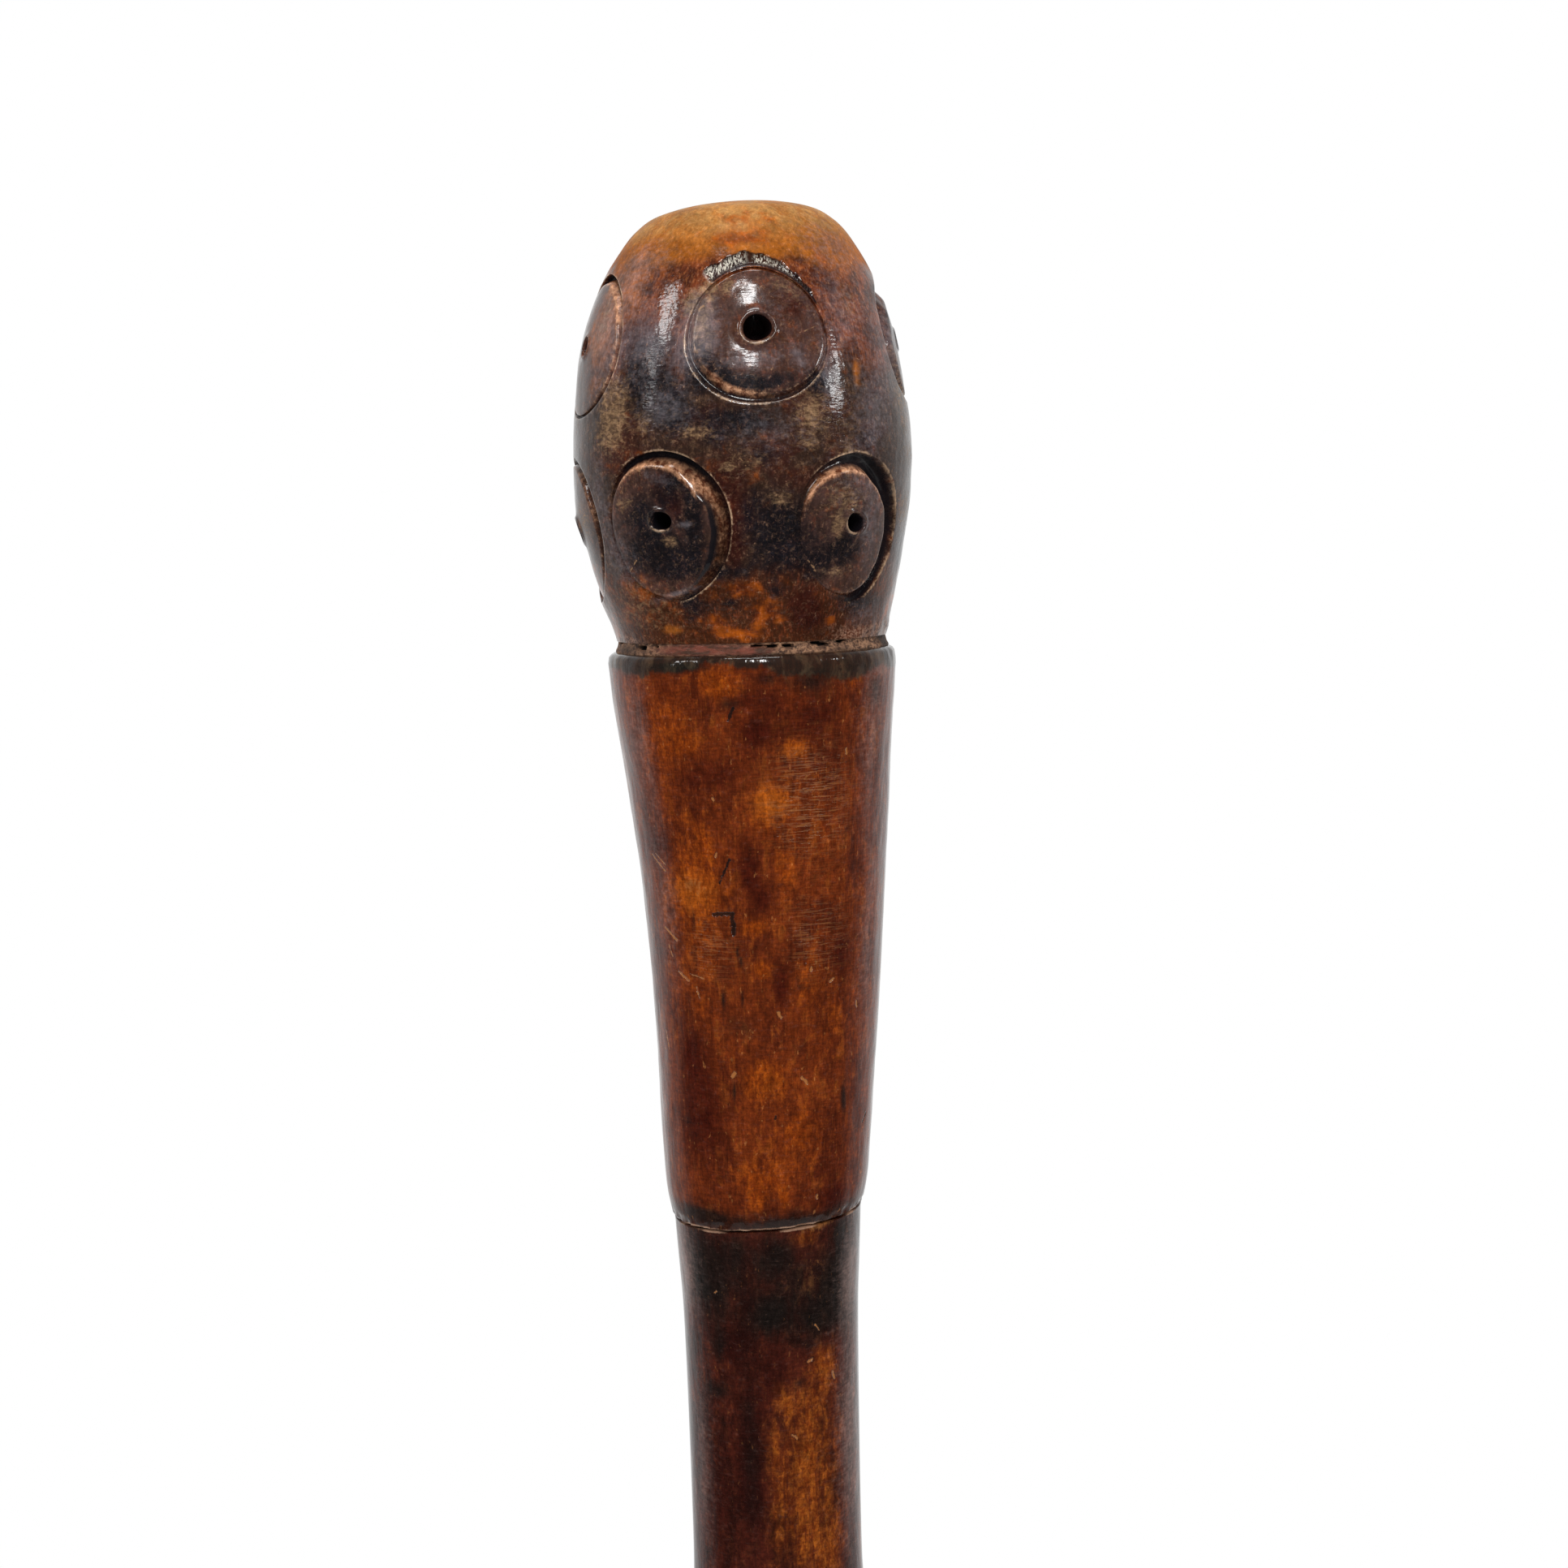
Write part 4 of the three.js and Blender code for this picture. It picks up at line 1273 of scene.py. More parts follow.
@dataclass
class Shaft(PaintedPart):
    """The long culm under the grip section: its flare, its nodes, its turned seat and its bores."""

    behind: Pair = (80, 280)
    seam_radius: float = 11.75
    flare_length: float = 24
    top_radius: float = 10.85
    tip_radius: float = 8.3
    node_rise: float = 0.9
    node_reach: float = 9
    core_bore_radius: float = 5.3
    core_bore_depth: float = 44.6
    plug_bore_radius: float = 3.7
    plug_bore_depth: float = 30.3
    fit_gap: float = 0.3
    sleeve_wall: float = 0.6
    sleeve_tip_radius: float = 7.2
    sleeve_mouth_radius: float = 8.1
    branch_length: float = 34
    branch_depth: float = 0.45
    branch_width: float = 2.1
    branch_side: float = 75
    seen_length: float = 72
    seen_step: float = 0.65
    node_step: float = 0.75
    scar_step: float = 0.25
    far_step: float = 3.2
    least_step: float = 0.12
    rim_drops: tuple = (0.45, 0.3, 0.18, 0.08)
    columns: int = 120
    flare_shares: tuple = ((0.48, 0.24), (0.7, 0.56), (0.84, 0.78))
    node_shares: tuple = ((-1, 0), (-0.5, 0.3), (-0.22, 0.9), (-0.1, 1), (0, 0.35), (0.08, 0.6),
                          (0.35, 0.2), (1, 0))
    node_place_shares: tuple = (0.149, 0.289, 0.422, 0.548, 0.665, 0.769, 0.856, 0.932)

    def __post_init__(self) -> None:
        """Runs the culm's profile over its flare and its nodes."""
        self.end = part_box("shaft")[0].z / MM
        self.top = self.stack.seam - self.stack.seam_gap
        self.sleeve_low, self.sleeve_high = (corner.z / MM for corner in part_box("ferrule_sleeve"))
        self.shoulder = self.sleeve_high + self.fit_gap
        self.nodes = [self.end + (self.top - self.end) * share for share in self.node_place_shares]
        rows = [(node + self.node_reach * up, self.node_rise * out)
                for node in self.nodes for up, out in self.node_shares]
        ridges = [(self.culm_radius(height) + rise, height) for height, rise in rows]
        flare, top = (self.top_radius, self.top - self.flare_length), (self.seam_radius, self.top)
        widening = between(flare, top, self.flare_shares)
        self.outline = Outline([(self.tip_radius, self.shoulder), *ridges, flare, *widening, top])

    def culm_radius(self, height: float) -> float:
        """Radius of the culm between its nodes."""
        share = (height - self.shoulder) / (self.top - self.flare_length - self.shoulder)
        return self.tip_radius + (self.top_radius - self.tip_radius) * share

    def seat_radius(self, height: float) -> float:
        """Radius of the turned seat inside the sleeve."""
        share = (height - self.sleeve_low) / (self.sleeve_high - self.sleeve_low)
        inside = self.sleeve_tip_radius + (self.sleeve_mouth_radius - self.sleeve_tip_radius) * share
        return inside - self.sleeve_wall - self.fit_gap

    def row_heights(self) -> Array:
        """Picks the rows' heights: close together near the nodes and the seam, wide apart elsewhere."""
        seen_low = self.top - self.seen_length
        around = np.arange(-self.node_reach, self.node_reach + 0.1, self.node_step)
        near = [node + around for node in self.nodes]
        close = [node + np.arange(-2.5, 1.6, self.scar_step) for node in self.nodes]
        wide = np.arange(self.shoulder, seen_low - 1, self.far_step)
        seen = np.arange(seen_low, self.top - 0.6, self.seen_step)
        heights = np.unique(np.round(np.concatenate([wide, *near, *close, seen, [self.shoulder]]), 2))
        keep = np.concatenate([[True], np.diff(heights) > self.least_step])
        rim = self.top - np.array(self.rim_drops)
        return np.concatenate([heights[keep & (heights < self.top - 0.55)], rim])

    def build(self) -> Piece:
        """Makes the shaft.

        Returns:
            Its object, with its marks.
        """
        heights = self.row_heights()
        outer = list(zip(self.outline.radius(heights), heights))
        plug_end, core_end = self.end + self.plug_bore_depth, self.top - self.core_bore_depth
        low = [
            (0.3, plug_end), (self.plug_bore_radius, plug_end), (self.plug_bore_radius, self.end),
            (self.seat_radius(self.end) - 0.3, self.end), (self.seat_radius(self.end), self.end + 0.3),
            (self.seat_radius(self.shoulder), self.shoulder), (self.tip_radius - 0.2, self.shoulder),
        ]
        high = [
            (self.seam_radius - 0.12, self.top), (self.core_bore_radius, self.top),
            (self.core_bore_radius, core_end), (0.3, core_end),
        ]
        skin = Skin()
        rows = turned_skin(skin, [*low, *outer, *high], self.columns)
        join_all(skin, rows)
        skin.fan(rows[0], skin.add_points(0, 0, plug_end, 0))
        skin.fan(rows[-1], skin.add_points(0, 0, core_end, max(skin.columns["along"][-2]) + 0.3))
        places, marks = skin.gather(self.stack)
        outside = np.hypot(places[:, 0], places[:, 1]) > 0.96 * self.outline.radius(marks.height)
        outside &= marks.height > self.shoulder
        self.paint(marks, places)
        streaks = places * np.array([1, 1, 0.05])
        rise = 0.09 * lumps(places * np.array([1, 1, 0.3]), 9, 51) + 0.04 * lumps(streaks, 1.6, 52)
        rise += 0.05 * lumps(places, 3, 53) * marks.shares["node"]
        rise -= self.branch_depth * marks.shares["branch"]
        fade = ease(self.top - marks.height, 0, 0.5) * ease(marks.height - self.shoulder, 0, 0.5) * outside
        marks.push(places, rise * fade)
        return skin.make("culm_shaft", places, marks, 50)

    def paint(self, marks: Marks, places: Array) -> None:
        """Paints the shaft's nodes, its branch grooves, its top and its blotches.

        Args:
            marks: The shaft's marks.
            places: The points.
        """
        stray = lumps(places, 4, 54) + 0.5 * lumps(places, 1.8, 55)
        along = lumps(places * np.array([1, 1, 0.15]), 6, 56)
        marks.add("node", np.zeros(len(places)))
        marks.add("branch", np.zeros(len(places)))
        for number, node in enumerate(self.nodes):
            from_node = marks.height - node
            marks.add("node", np.exp(-((from_node + 0.8) / 1.6) ** 2))
            marks.add("scar", np.exp(-((from_node + 0.1) / 0.35) ** 2) * (0.8 + 0.4 * stray))
            marks.add("soot", 0.6 * np.exp(-((from_node - 0.3 + stray) / 3.5) ** 2))
            side = self.branch_side + 180 * (number % 2)
            across = np.radians(wrapped(marks.azimuth - side)) * self.culm_radius(node)
            groove = np.exp(-(across / self.branch_width) ** 2) * ease(from_node, 0.4, 2.5)
            groove *= ease(from_node, self.branch_length, 6)
            marks.add("branch", groove)
            marks.add("soot", 0.45 * groove)
        unseen = ease(self.top - marks.height, self.seen_length - 24, self.seen_length + 3)
        marks.add("amber", 0.75 * unseen * ease(along + 0.4 * stray, 0.05, 0.5))
        marks.add("maroon", 0.8 * unseen * ease(-along + 0.4 * stray, 0.1, 0.6))
        marks.add("soot", 0.75 * unseen * ease(lumps(places * np.array([1, 1, 0.3]), 9, 57), 0.25, 0.6))
        marks.add("seam", ease(self.top - marks.height, 0.3, 0.08) * (0.1 + 0.6 * ease(stray, -0.1, 0.5)))
        self.blot(marks)
        low = self.top - self.seen_length - 3
        self.scatter(marks, (Tone.SOOT, 16, 58, (3, 7), (low, self.top), 0.8),
                     (Tone.AMBER, 14, 59, (2.5, 9), (low, self.top - 10), 0.8),
                     (Tone.MAROON, 14, 60, (2.5, 8), (low, self.top), 0.8))


@dataclass
class Ferrule:
    """The brass sleeve with its rolled bead, the iron tip, and the two brass pins."""

    stack: Stack
    tip_radius: float = 7.2
    mouth_radius: float = 8.1
    sleeve_wall: float = 0.6
    bead_rise: float = 0.45
    bead_height: float = 1.7
    ring_rise: float = 0.12
    tip_chamfer: float = 0.9
    spigot_height: float = 4
    spigot_gap: float = 0.3
    shank_radius: float = 1.6
    shank_length: float = 16
    shank_point: float = 2
    pin_radius: float = 0.7
    pin_point: float = 0.6
    pin_head_radius: float = 1.5
    pin_head_height: float = 0.7
    columns: int = 144
    pin_columns: int = 40
    bead_shares: tuple = ((0, 0), (0.06, 0.35), (0.2, 0.8), (0.35, 0.97), (0.5, 1), (0.65, 0.97), (0.8, 0.8),
                          (0.93, 0.4), (1, 0.1))
    ring_shares: tuple = ((-0.3, 0), (-0.15, 0.8), (0, 1), (0.15, 0.8), (0.3, 0))
    head_shares: tuple = ((0.2, 0.98), (0.45, 0.87), (0.66, 0.7), (0.82, 0.5), (0.94, 0.28))

    def __post_init__(self) -> None:
        """Reads where the sleeve and the pins sit."""
        self.low, self.high = (corner.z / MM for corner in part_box("ferrule_sleeve"))
        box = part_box("ferrule_pin_front")
        self.pin_height = (box[0].z + box[1].z) / 2 / MM
        self.pin_out, self.pin_in = -box[0].y / MM, -box[1].y / MM

    def sleeve_radius(self, height: float) -> float:
        """Outer radius of the tapered sleeve."""
        share = (height - self.low) / (self.high - self.low)
        return self.tip_radius + (self.mouth_radius - self.tip_radius) * share

    def shaped(self, name: str, path: list[Pair], seed: float, dent: float, closed: bool,
               columns: int = 0) -> Piece:
        """Makes a turned metal piece with the small dents of use.

        Args:
            name: The object's name.
            path: Its profile, as radius and height.
            seed: Picks its dents.
            dent: How deep they are.
            closed: Whether the profile closes on itself, as a sleeve's does.
            columns: How many points go round; as round the ferrule where zero.

        Returns:
            The object.
        """
        skin = Skin()
        rows = turned_skin(skin, path, columns or self.columns)
        join_all(skin, rows)
        if closed:
            skin.join_rows(rows[-1], rows[0])
        else:
            for row, (_, height) in ((rows[0], path[0]), (rows[-1], path[-1])):
                skin.fan(row, skin.add_points(0, 0, height, skin.along(row)))
        places, marks = skin.gather(self.stack)
        radius = np.hypot(places[:, 0], places[:, 1])
        dents = np.maximum(0, lumps(places, 3.4, seed) - 0.15) + 0.4 * lumps(places, 8, seed + 1) ** 2
        places[:, :2] *= (1 - dent * dents / np.maximum(radius, 1))[:, None]
        marks.add("worn", ease(-lumps(places, 2.5, seed + 2), 0.1, 0.6))
        return skin.make(name, places, marks, 35)

    def build_sleeve(self) -> Piece:
        """Makes the sleeve."""
        bead_low = self.high - self.bead_height
        heights = list(np.arange(self.low + 0.5, bead_low - 1, 0.8))
        wall = [(self.sleeve_radius(height), height) for height in heights]
        rings = []
        for middle in (self.low + 1.6, bead_low - 1.4, bead_low - 2.3):
            rings += [(self.sleeve_radius(middle + up) + self.ring_rise * out, middle + up)
                      for up, out in self.ring_shares]
        wall = sorted(wall + rings, key=lambda point: point[1])
        bead = [(self.sleeve_radius(bead_low + self.bead_height * up) + self.bead_rise * out,
                 bead_low + self.bead_height * up) for up, out in self.bead_shares]
        foot = [(self.tip_radius - self.sleeve_wall, self.low), (self.tip_radius - 0.12, self.low),
                (self.tip_radius, self.low + 0.12)]
        path = [*foot, *wall, *bead, (self.mouth_radius - self.sleeve_wall, self.high)]
        return self.shaped("brass_sleeve", path, 71, 0.05, True)

    def build_tip(self) -> Piece:
        """Makes the iron tip, with its spigot and its shank."""
        radius, spigot = self.tip_radius, self.tip_radius - self.sleeve_wall - self.spigot_gap
        spigot_top = self.low + self.spigot_height
        round_off = self.tip_chamfer
        chamfer = [(radius - round_off * (1 - math.sin(turn)), round_off * (1 - math.cos(turn)))
                   for turn in np.linspace(0, math.pi / 2, 7)]
        side = [(radius, height) for height in np.linspace(round_off + 0.7, self.low - 0.25, 7)]
        path = [
            (radius * 0.1, 0), (radius * 0.4, 0), (radius * 0.7, 0), *chamfer, *side,
            (radius - 0.15, self.low), (spigot, self.low), (spigot, spigot_top),
            (self.shank_radius, spigot_top),
            (self.shank_radius, spigot_top + self.shank_length - self.shank_point),
            (0.15, spigot_top + self.shank_length - 0.1),
        ]
        return self.shaped("iron_tip", path, 75, 0.07, False)

    def build_pin(self, is_back: bool) -> Piece:
        """Makes a brad with a low domed head.

        Args:
            is_back: Whether it is the one at the back.

        Returns:
            The brad.
        """
        seat = self.pin_out - self.pin_head_height
        head = between((0, seat), (self.pin_head_radius, self.pin_out), self.head_shares)
        path = [(0.1, self.pin_in), (self.pin_radius, self.pin_in + self.pin_point), (self.pin_radius, seat),
                (self.pin_head_radius - 0.1, seat), (self.pin_head_radius, seat + 0.06), *head,
                (0.1, self.pin_out)]
        name = "ferrule_brad_back" if is_back else "ferrule_brad_front"
        brad = self.shaped(name, path, 79, 0.0, False, self.pin_columns)
        lay = Matrix.Rotation(math.radians(90), 4, "X")
        if is_back:
            lay = Matrix.Rotation(math.pi, 4, "Z") @ lay
        brad.data.transform(Matrix.Translation((0, 0, self.pin_height * MM)) @ lay)
        return brad


def stains(tone: Tone, *places: tuple[float, ...]) -> list[Blotch]:
    """Lists blotches of a tone by column, row, half width and half height, then strength and lean."""
    return [Blotch(tone, *place) for place in places]


def nicked(pale: bool, *places: tuple[float, ...]) -> list[Nick]:
    """Lists nicks of one kind by the column and row of both ends, then the width."""
    return [Nick(place[:2], place[2:4], place[4], pale) for place in places]


SOOT, AMBER, MAROON, OCHRE, CRUST, GAP, HONEY, GREY_SHEEN, GLOW = Tone

KNOB_BLOTCHES = (
    *stains(AMBER, (915, 294, 44, 9, 0.85), (922, 270, 50, 14, 0.5), (1010, 318, 22, 18, 0.25),
        (893, 602, 9, 26, 0.55, -25), (932, 578, 10, 12, 0.4), (921, 726, 26, 10, 0.9),
        (944, 756, 26, 14, 0.85), (882, 766, 18, 14, 0.7), (914, 782, 38, 9, 0.7), (790, 742, 44, 30, 0.4),
        (1024, 765, 6, 5, 0.8)),
    *stains(HONEY, (1060, 456, 5, 18, 0.85), (1046, 372, 10, 22, 0.4), (1030, 312, 34, 36, 0.55),
        (783, 350, 28, 60, 0.55), (747, 405, 16, 70, 0.72), (872, 380, 14, 24, 0.45),
        (830, 776, 15, 6, 0.75)),
    *stains(MAROON, (782, 414, 20, 20, 0.5), (1030, 352, 12, 12, 0.7), (1075, 400, 12, 45, 0.5),
        (800, 412, 36, 26, 0.5), (905, 600, 32, 46, 0.8, -20), (908, 668, 17, 46, 0.95),
        (826, 600, 26, 26, 0.8), (838, 628, 14, 18, 0.8), (985, 372, 26, 30, 0.6), (996, 752, 26, 32)),
    # Pale grey: mostly painted sheen and highlight haze.
    *stains(GREY_SHEEN, (1030, 302, 34, 34, 0.5), (800, 318, 36, 20, 0.4), (1040, 385, 28, 60, 0.62),
        (783, 350, 26, 60, 0.5), (750, 400, 18, 56, 0.75), (1108, 432, 15, 60, 0.75),
        (812, 416, 44, 30, 0.6), (1080, 505, 24, 44, 0.6), (825, 505, 34, 26, 0.6),
        (1028, 462, 13, 36, 0.75), (745, 440, 14, 60, 0.5), (764, 440, 16, 50, 0.35),
        (800, 392, 24, 60, 0.35), (812, 450, 36, 36, 0.25), (848, 430, 14, 40, 0.6),
        (1088, 430, 16, 70, 0.5), (866, 392, 20, 30), (870, 405, 18, 34), (936, 440, 50, 14, 0.5),
        (878, 424, 18, 6, 0.6), (925, 446, 14, 6, 0.7), (990, 440, 8, 18, 0.7, -20),
        (950, 380, 30, 30, 0.3), (960, 530, 60, 30, 0.35), (1060, 580, 30, 40, 0.45),
        (1078, 640, 12, 60, 0.5), (745, 620, 14, 60, 0.5), (815, 590, 24, 8, 0.5, 20),
        (838, 732, 36, 4, 0.8, -14), (850, 646, 9, 4, 0.9), (1056, 647, 9, 4, 0.9),
        (770, 690, 20, 40, 0.4), (1070, 760, 24, 24, 0.4)),
    *stains(OCHRE, (1052, 372, 10, 26, 0.3), (870, 396, 15, 36, 0.72), (976, 352, 20, 14, 0.4, 30),
        (1045, 520, 40, 40, 0.2), (761, 510, 15, 32, 0.9), (760, 500, 17, 44, 0.4),
        (925, 570, 30, 16, 0.4), (760, 498, 12, 24, 0.9, 15), (752, 535, 14, 18, 0.8),
        (752, 392, 7, 44, 0.6, 5), (797, 522, 10, 12, 0.7), (860, 533, 20, 8, 0.8),
        (1005, 508, 16, 20, 0.9, 20), (1000, 545, 12, 16, 0.45), (1050, 555, 12, 10, 0.35),
        (968, 613, 13, 8, 0.7), (902, 576, 8, 5, 0.7), (775, 620, 12, 12, 0.4), (902, 352, 7, 10, 0.7),
        (1045, 612, 24, 20, 0.5), (1036, 648, 7, 15), (832, 668, 9, 6, 0.7), (792, 748, 36, 34, 0.36),
        (1035, 705, 18, 6, 0.6), (874, 362, 9, 16, 0.6), (856, 372, 10, 14, 0.8, 35),
        (868, 384, 5, 8, 0.7), (864, 410, 4, 9, 0.7), (880, 352, 12, 8, 0.5)),
    # Mostly dark stain; those at (860, 636), (1086, 362) and (718, 427) are painted shade at a disc's edge,
    # in a groove's slit and in a pith hole.
    *stains(SOOT, (806, 430, 44, 22, 0.62), (800, 462, 34, 44), (832, 505, 34, 30, 1, 20),
        (905, 512, 40, 12, 0.7), (1012, 470, 14, 26, 0.7), (1024, 515, 16, 14, 0.5),
        (925, 522, 46, 18, 0.7), (880, 538, 34, 16, 0.55), (945, 560, 26, 14, 0.7),
        (1075, 540, 16, 16, 0.7), (1018, 470, 10, 22, 0.6), (966, 655, 44, 50), (880, 470, 24, 12, 0.5),
        (930, 620, 16, 30, 0.5), (806, 655, 44, 56, 0.85), (1055, 655, 26, 44, 0.6),
        (1000, 690, 40, 26, 0.9), (826, 596, 22, 24, 0.4), (860, 636, 13, 46), (842, 592, 26, 12, 1, -30),
        (840, 690, 30, 20, 0.8), (1086, 362, 9, 14), (1108, 420, 15, 56, 0.9), (718, 427, 8, 10),
        (808, 690, 54, 22, 0.75), (1035, 680, 36, 20, 0.6), (860, 436, 14, 20), (874, 452, 22, 19, 1, 30),
        (896, 466, 36, 16, 1, 15), (945, 472, 50, 14, 0.95, -6), (912, 746, 12, 8, 0.55),
        (962, 728, 14, 16, 0.7), (850, 762, 12, 14, 0.5), (856, 742, 20, 18, 0.9, 10),
        (900, 742, 14, 8, 0.7), (905, 706, 40, 11, 0.8), (1062, 742, 34, 18, 0.8), (772, 795, 18, 6, 0.7)),
    *stains(CRUST, (1058, 784, 38, 14, 1, 6), (1090, 775, 20, 16, 0.9), (774, 790, 20, 8, 0.9),
        (985, 796, 46, 3.5, 0.8), (920, 796, 80, 2.5, 0.6)),
)
KNOB_NICKS = (
    *nicked(True, (770, 600, 783, 636, 1.6), (786, 598, 800, 632, 1.2), (792, 574, 800, 612, 1.6),
        (1034, 596, 1046, 590, 2.4), (858, 385, 872, 377, 2.2), (1001, 690, 1012, 706, 2),
        (913, 560, 925, 574, 1.4), (790, 690, 782, 704, 1.4), (996, 408, 1014, 400, 1.2)),
)
FILLER_BLOTCHES = (
    *stains(AMBER, (862, 801, 76, 9), (925, 803, 30, 6, 0.8)),
    *stains(GAP, (791, 799, 6, 3.4), (808, 797, 3, 2, 0.8), (932, 796, 7, 1.9), (951, 796, 8, 2.2),
        (971, 795.5, 7, 2), (1011, 793, 13, 2.2, 1, 6), (1036, 790, 6, 1.8)),
    *stains(CRUST, (1005, 802, 46, 6), (1050, 796, 50, 9), (1085, 790, 30, 12), (768, 796, 14, 8, 0.7)),
    *stains(SOOT, (772, 801, 20, 9, 0.6), (1040, 800, 16, 6, 0.5), (1094, 796, 10, 10, 0.5),
        (940, 806, 30, 3, 0.6)),
)
GRIP_BLOTCHES = (
    *stains(AMBER, (812, 900, 34, 70, 0.6), (845, 1110, 40, 110, 0.75), (882, 842, 26, 20),
        (893, 850, 14, 10, 0.6), (840, 920, 22, 16, 0.8), (820, 880, 20, 40, 0.4), (980, 922, 18, 13, 0.9),
        (947, 988, 21, 15), (940, 1014, 18, 16), (1050, 838, 4, 16), (990, 1000, 40, 50, 0.25),
        (862, 1040, 10, 22, 0.8, -15), (855, 1098, 36, 22, 0.8), (922, 1142, 20, 13, 0.9),
        (932, 1195, 13, 14, 0.9), (990, 1205, 20, 44, 0.6), (960, 1070, 16, 40, 0.7),
        (938, 1332, 30, 28, 0.95), (985, 1400, 36, 40, 0.7), (940, 1455, 40, 30, 0.65),
        (934, 1480, 11, 15, 0.9), (966, 1478, 6, 16), (1018, 1255, 20, 50, 0.5), (850, 1240, 16, 22, 0.45)),
    # Pale grey: mostly painted sheen and highlight haze.
    *stains(GREY_SHEEN, (786, 905, 14, 90, 0.45), (812, 1110, 14, 110, 0.4), (1072, 900, 16, 90, 0.4),
        (1062, 1150, 14, 130, 0.35), (776, 822, 22, 9, 0.55), (1080, 822, 26, 10, 0.5)),
    *stains(HONEY, (995, 985, 44, 60), (1000, 1150, 36, 50, 0.6), (870, 1170, 30, 40, 0.5)),
    *stains(GLOW, (946, 990, 24, 22, 0.95), (845, 1100, 34, 26, 0.75), (978, 924, 18, 12, 0.7),
        (940, 1336, 28, 24, 0.35), (892, 850, 14, 12, 0.35)),
    *stains(OCHRE, (850, 1092, 26, 14, 0.5)),
    *stains(MAROON, (930, 902, 26, 24), (1000, 880, 36, 36, 0.75), (930, 862, 40, 18, 0.7),
        (850, 960, 40, 30, 0.5), (815, 850, 20, 20, 0.6), (890, 950, 40, 24, 0.6),
        (805, 1040, 18, 22, 0.8), (917, 1068, 15, 44), (934, 1108, 12, 20), (955, 1215, 13, 32),
        (1030, 1172, 18, 34, 0.9), (1060, 1010, 18, 60, 0.35), (860, 1370, 30, 80),
        (848, 1300, 14, 40, 0.8), (1040, 1410, 10, 34, 0.4), (1028, 1478, 20, 22)),
    *stains(SOOT, (945, 836, 24, 9, 0.6), (900, 868, 18, 8, 0.6), (1000, 838, 34, 20, 0.75),
        (830, 822, 44, 7), (1078, 850, 14, 34, 0.7), (905, 1265, 26, 22, 0.5), (978, 1290, 14, 22, 0.4),
        (903, 1178, 3, 24, 0.9, -18), (847, 1134, 3, 20, 0.8), (885, 1232, 3.5, 16, 0.8),
        (908, 1231, 3, 13, 0.8), (1036, 1352, 4, 26, 1, -4), (901, 1345, 3, 16, 0.8),
        (866, 1494, 42, 12, 1, 5), (970, 1508, 50, 7, 0.9), (845, 1380, 10, 10, 0.5)),
)
GRIP_NICKS = (
    *nicked(True, (798, 1053, 813, 1073, 2.2), (802, 1052, 815, 1067, 1.4), (812, 1142, 827, 1159, 2.4),
        (829, 1197, 841, 1208, 2.6), (843, 1200, 860, 1206, 1.6), (855, 1230, 851, 1217, 2.2),
        (815, 1269, 820, 1292, 1.8), (821, 1178, 817, 1165, 1.6), (1020, 1206, 1016, 1209, 3),
        (901, 1322, 899, 1327, 4), (953, 1248, 956, 1254, 3.4), (984, 1328, 990, 1334, 3.4),
        (993, 1192, 992, 1196, 2.6), (1049, 1234, 1050, 1240, 3), (1007, 1475, 1006, 1478, 3.6),
        (874, 984, 875, 986, 2.6), (1041, 922, 1041, 928, 2.6), (877, 1052, 876, 1056, 3)),
    *nicked(False, (893, 1060, 880, 1089, 2.2), (903, 872, 896, 888, 2.4), (1064, 1371, 1060, 1382, 2.6),
        (953, 1376, 953, 1378, 2.6), (1074, 1368, 1072, 1371, 2), (895, 1127, 897, 1151, 5.5),
        (873, 1127, 895, 1126, 4.5)),
)
SHAFT_BLOTCHES = (
    *stains(SOOT, (872, 1572, 40, 84), (952, 1552, 34, 34), (950, 1622, 26, 30, 0.95),
        (1012, 1612, 48, 36), (1034, 1570, 20, 64), (985, 1575, 30, 34, 0.6), (1055, 1560, 14, 80),
        (1036, 1522, 10, 16), (905, 1545, 20, 30, 0.6), (885, 1660, 9, 20, 0.7), (884, 1712, 18, 16, 0.85),
        (925, 1800, 13, 130, 0.55), (995, 1655, 16, 14, 0.6), (985, 1704, 9, 9, 0.7)),
    *stains(MAROON, (919, 1600, 14, 30, 0.8), (900, 1655, 36, 34, 0.8), (926, 1800, 22, 130),
        (884, 1840, 24, 110, 0.7), (955, 1690, 20, 40, 0.8)),
    *stains(OCHRE, (993, 1580, 30, 30, 0.45), (1008, 1512, 22, 6, 0.8)),
    *stains(AMBER, (992, 1526, 17, 12, 0.7), (1016, 1682, 14, 26, 0.9), (970, 1735, 9, 34, 0.85, -18),
        (992, 1815, 20, 36, 0.85), (955, 1790, 12, 40, 0.5), (987, 1885, 9, 38, 0.9),
        (1020, 1905, 20, 34, 0.8), (1000, 1740, 40, 70, 0.6), (1005, 1860, 44, 90, 0.7),
        (962, 1850, 16, 80, 0.45)),
    # Pale grey: mostly painted sheen and highlight haze.
    *stains(GREY_SHEEN, (1048, 1760, 14, 150, 0.7), (1050, 1570, 12, 60, 0.9), (842, 1560, 12, 60, 0.9),
        (866, 1800, 12, 120, 0.4)),
)
SHAFT_NICKS = (
    *nicked(True, (976, 1768, 982, 1772, 2.6), (996, 1678, 1000, 1674, 3), (1026, 1690, 1028, 1698, 3),
        (1009, 1638, 1004, 1632, 2.2), (880, 1592, 883, 1590, 2)),
)


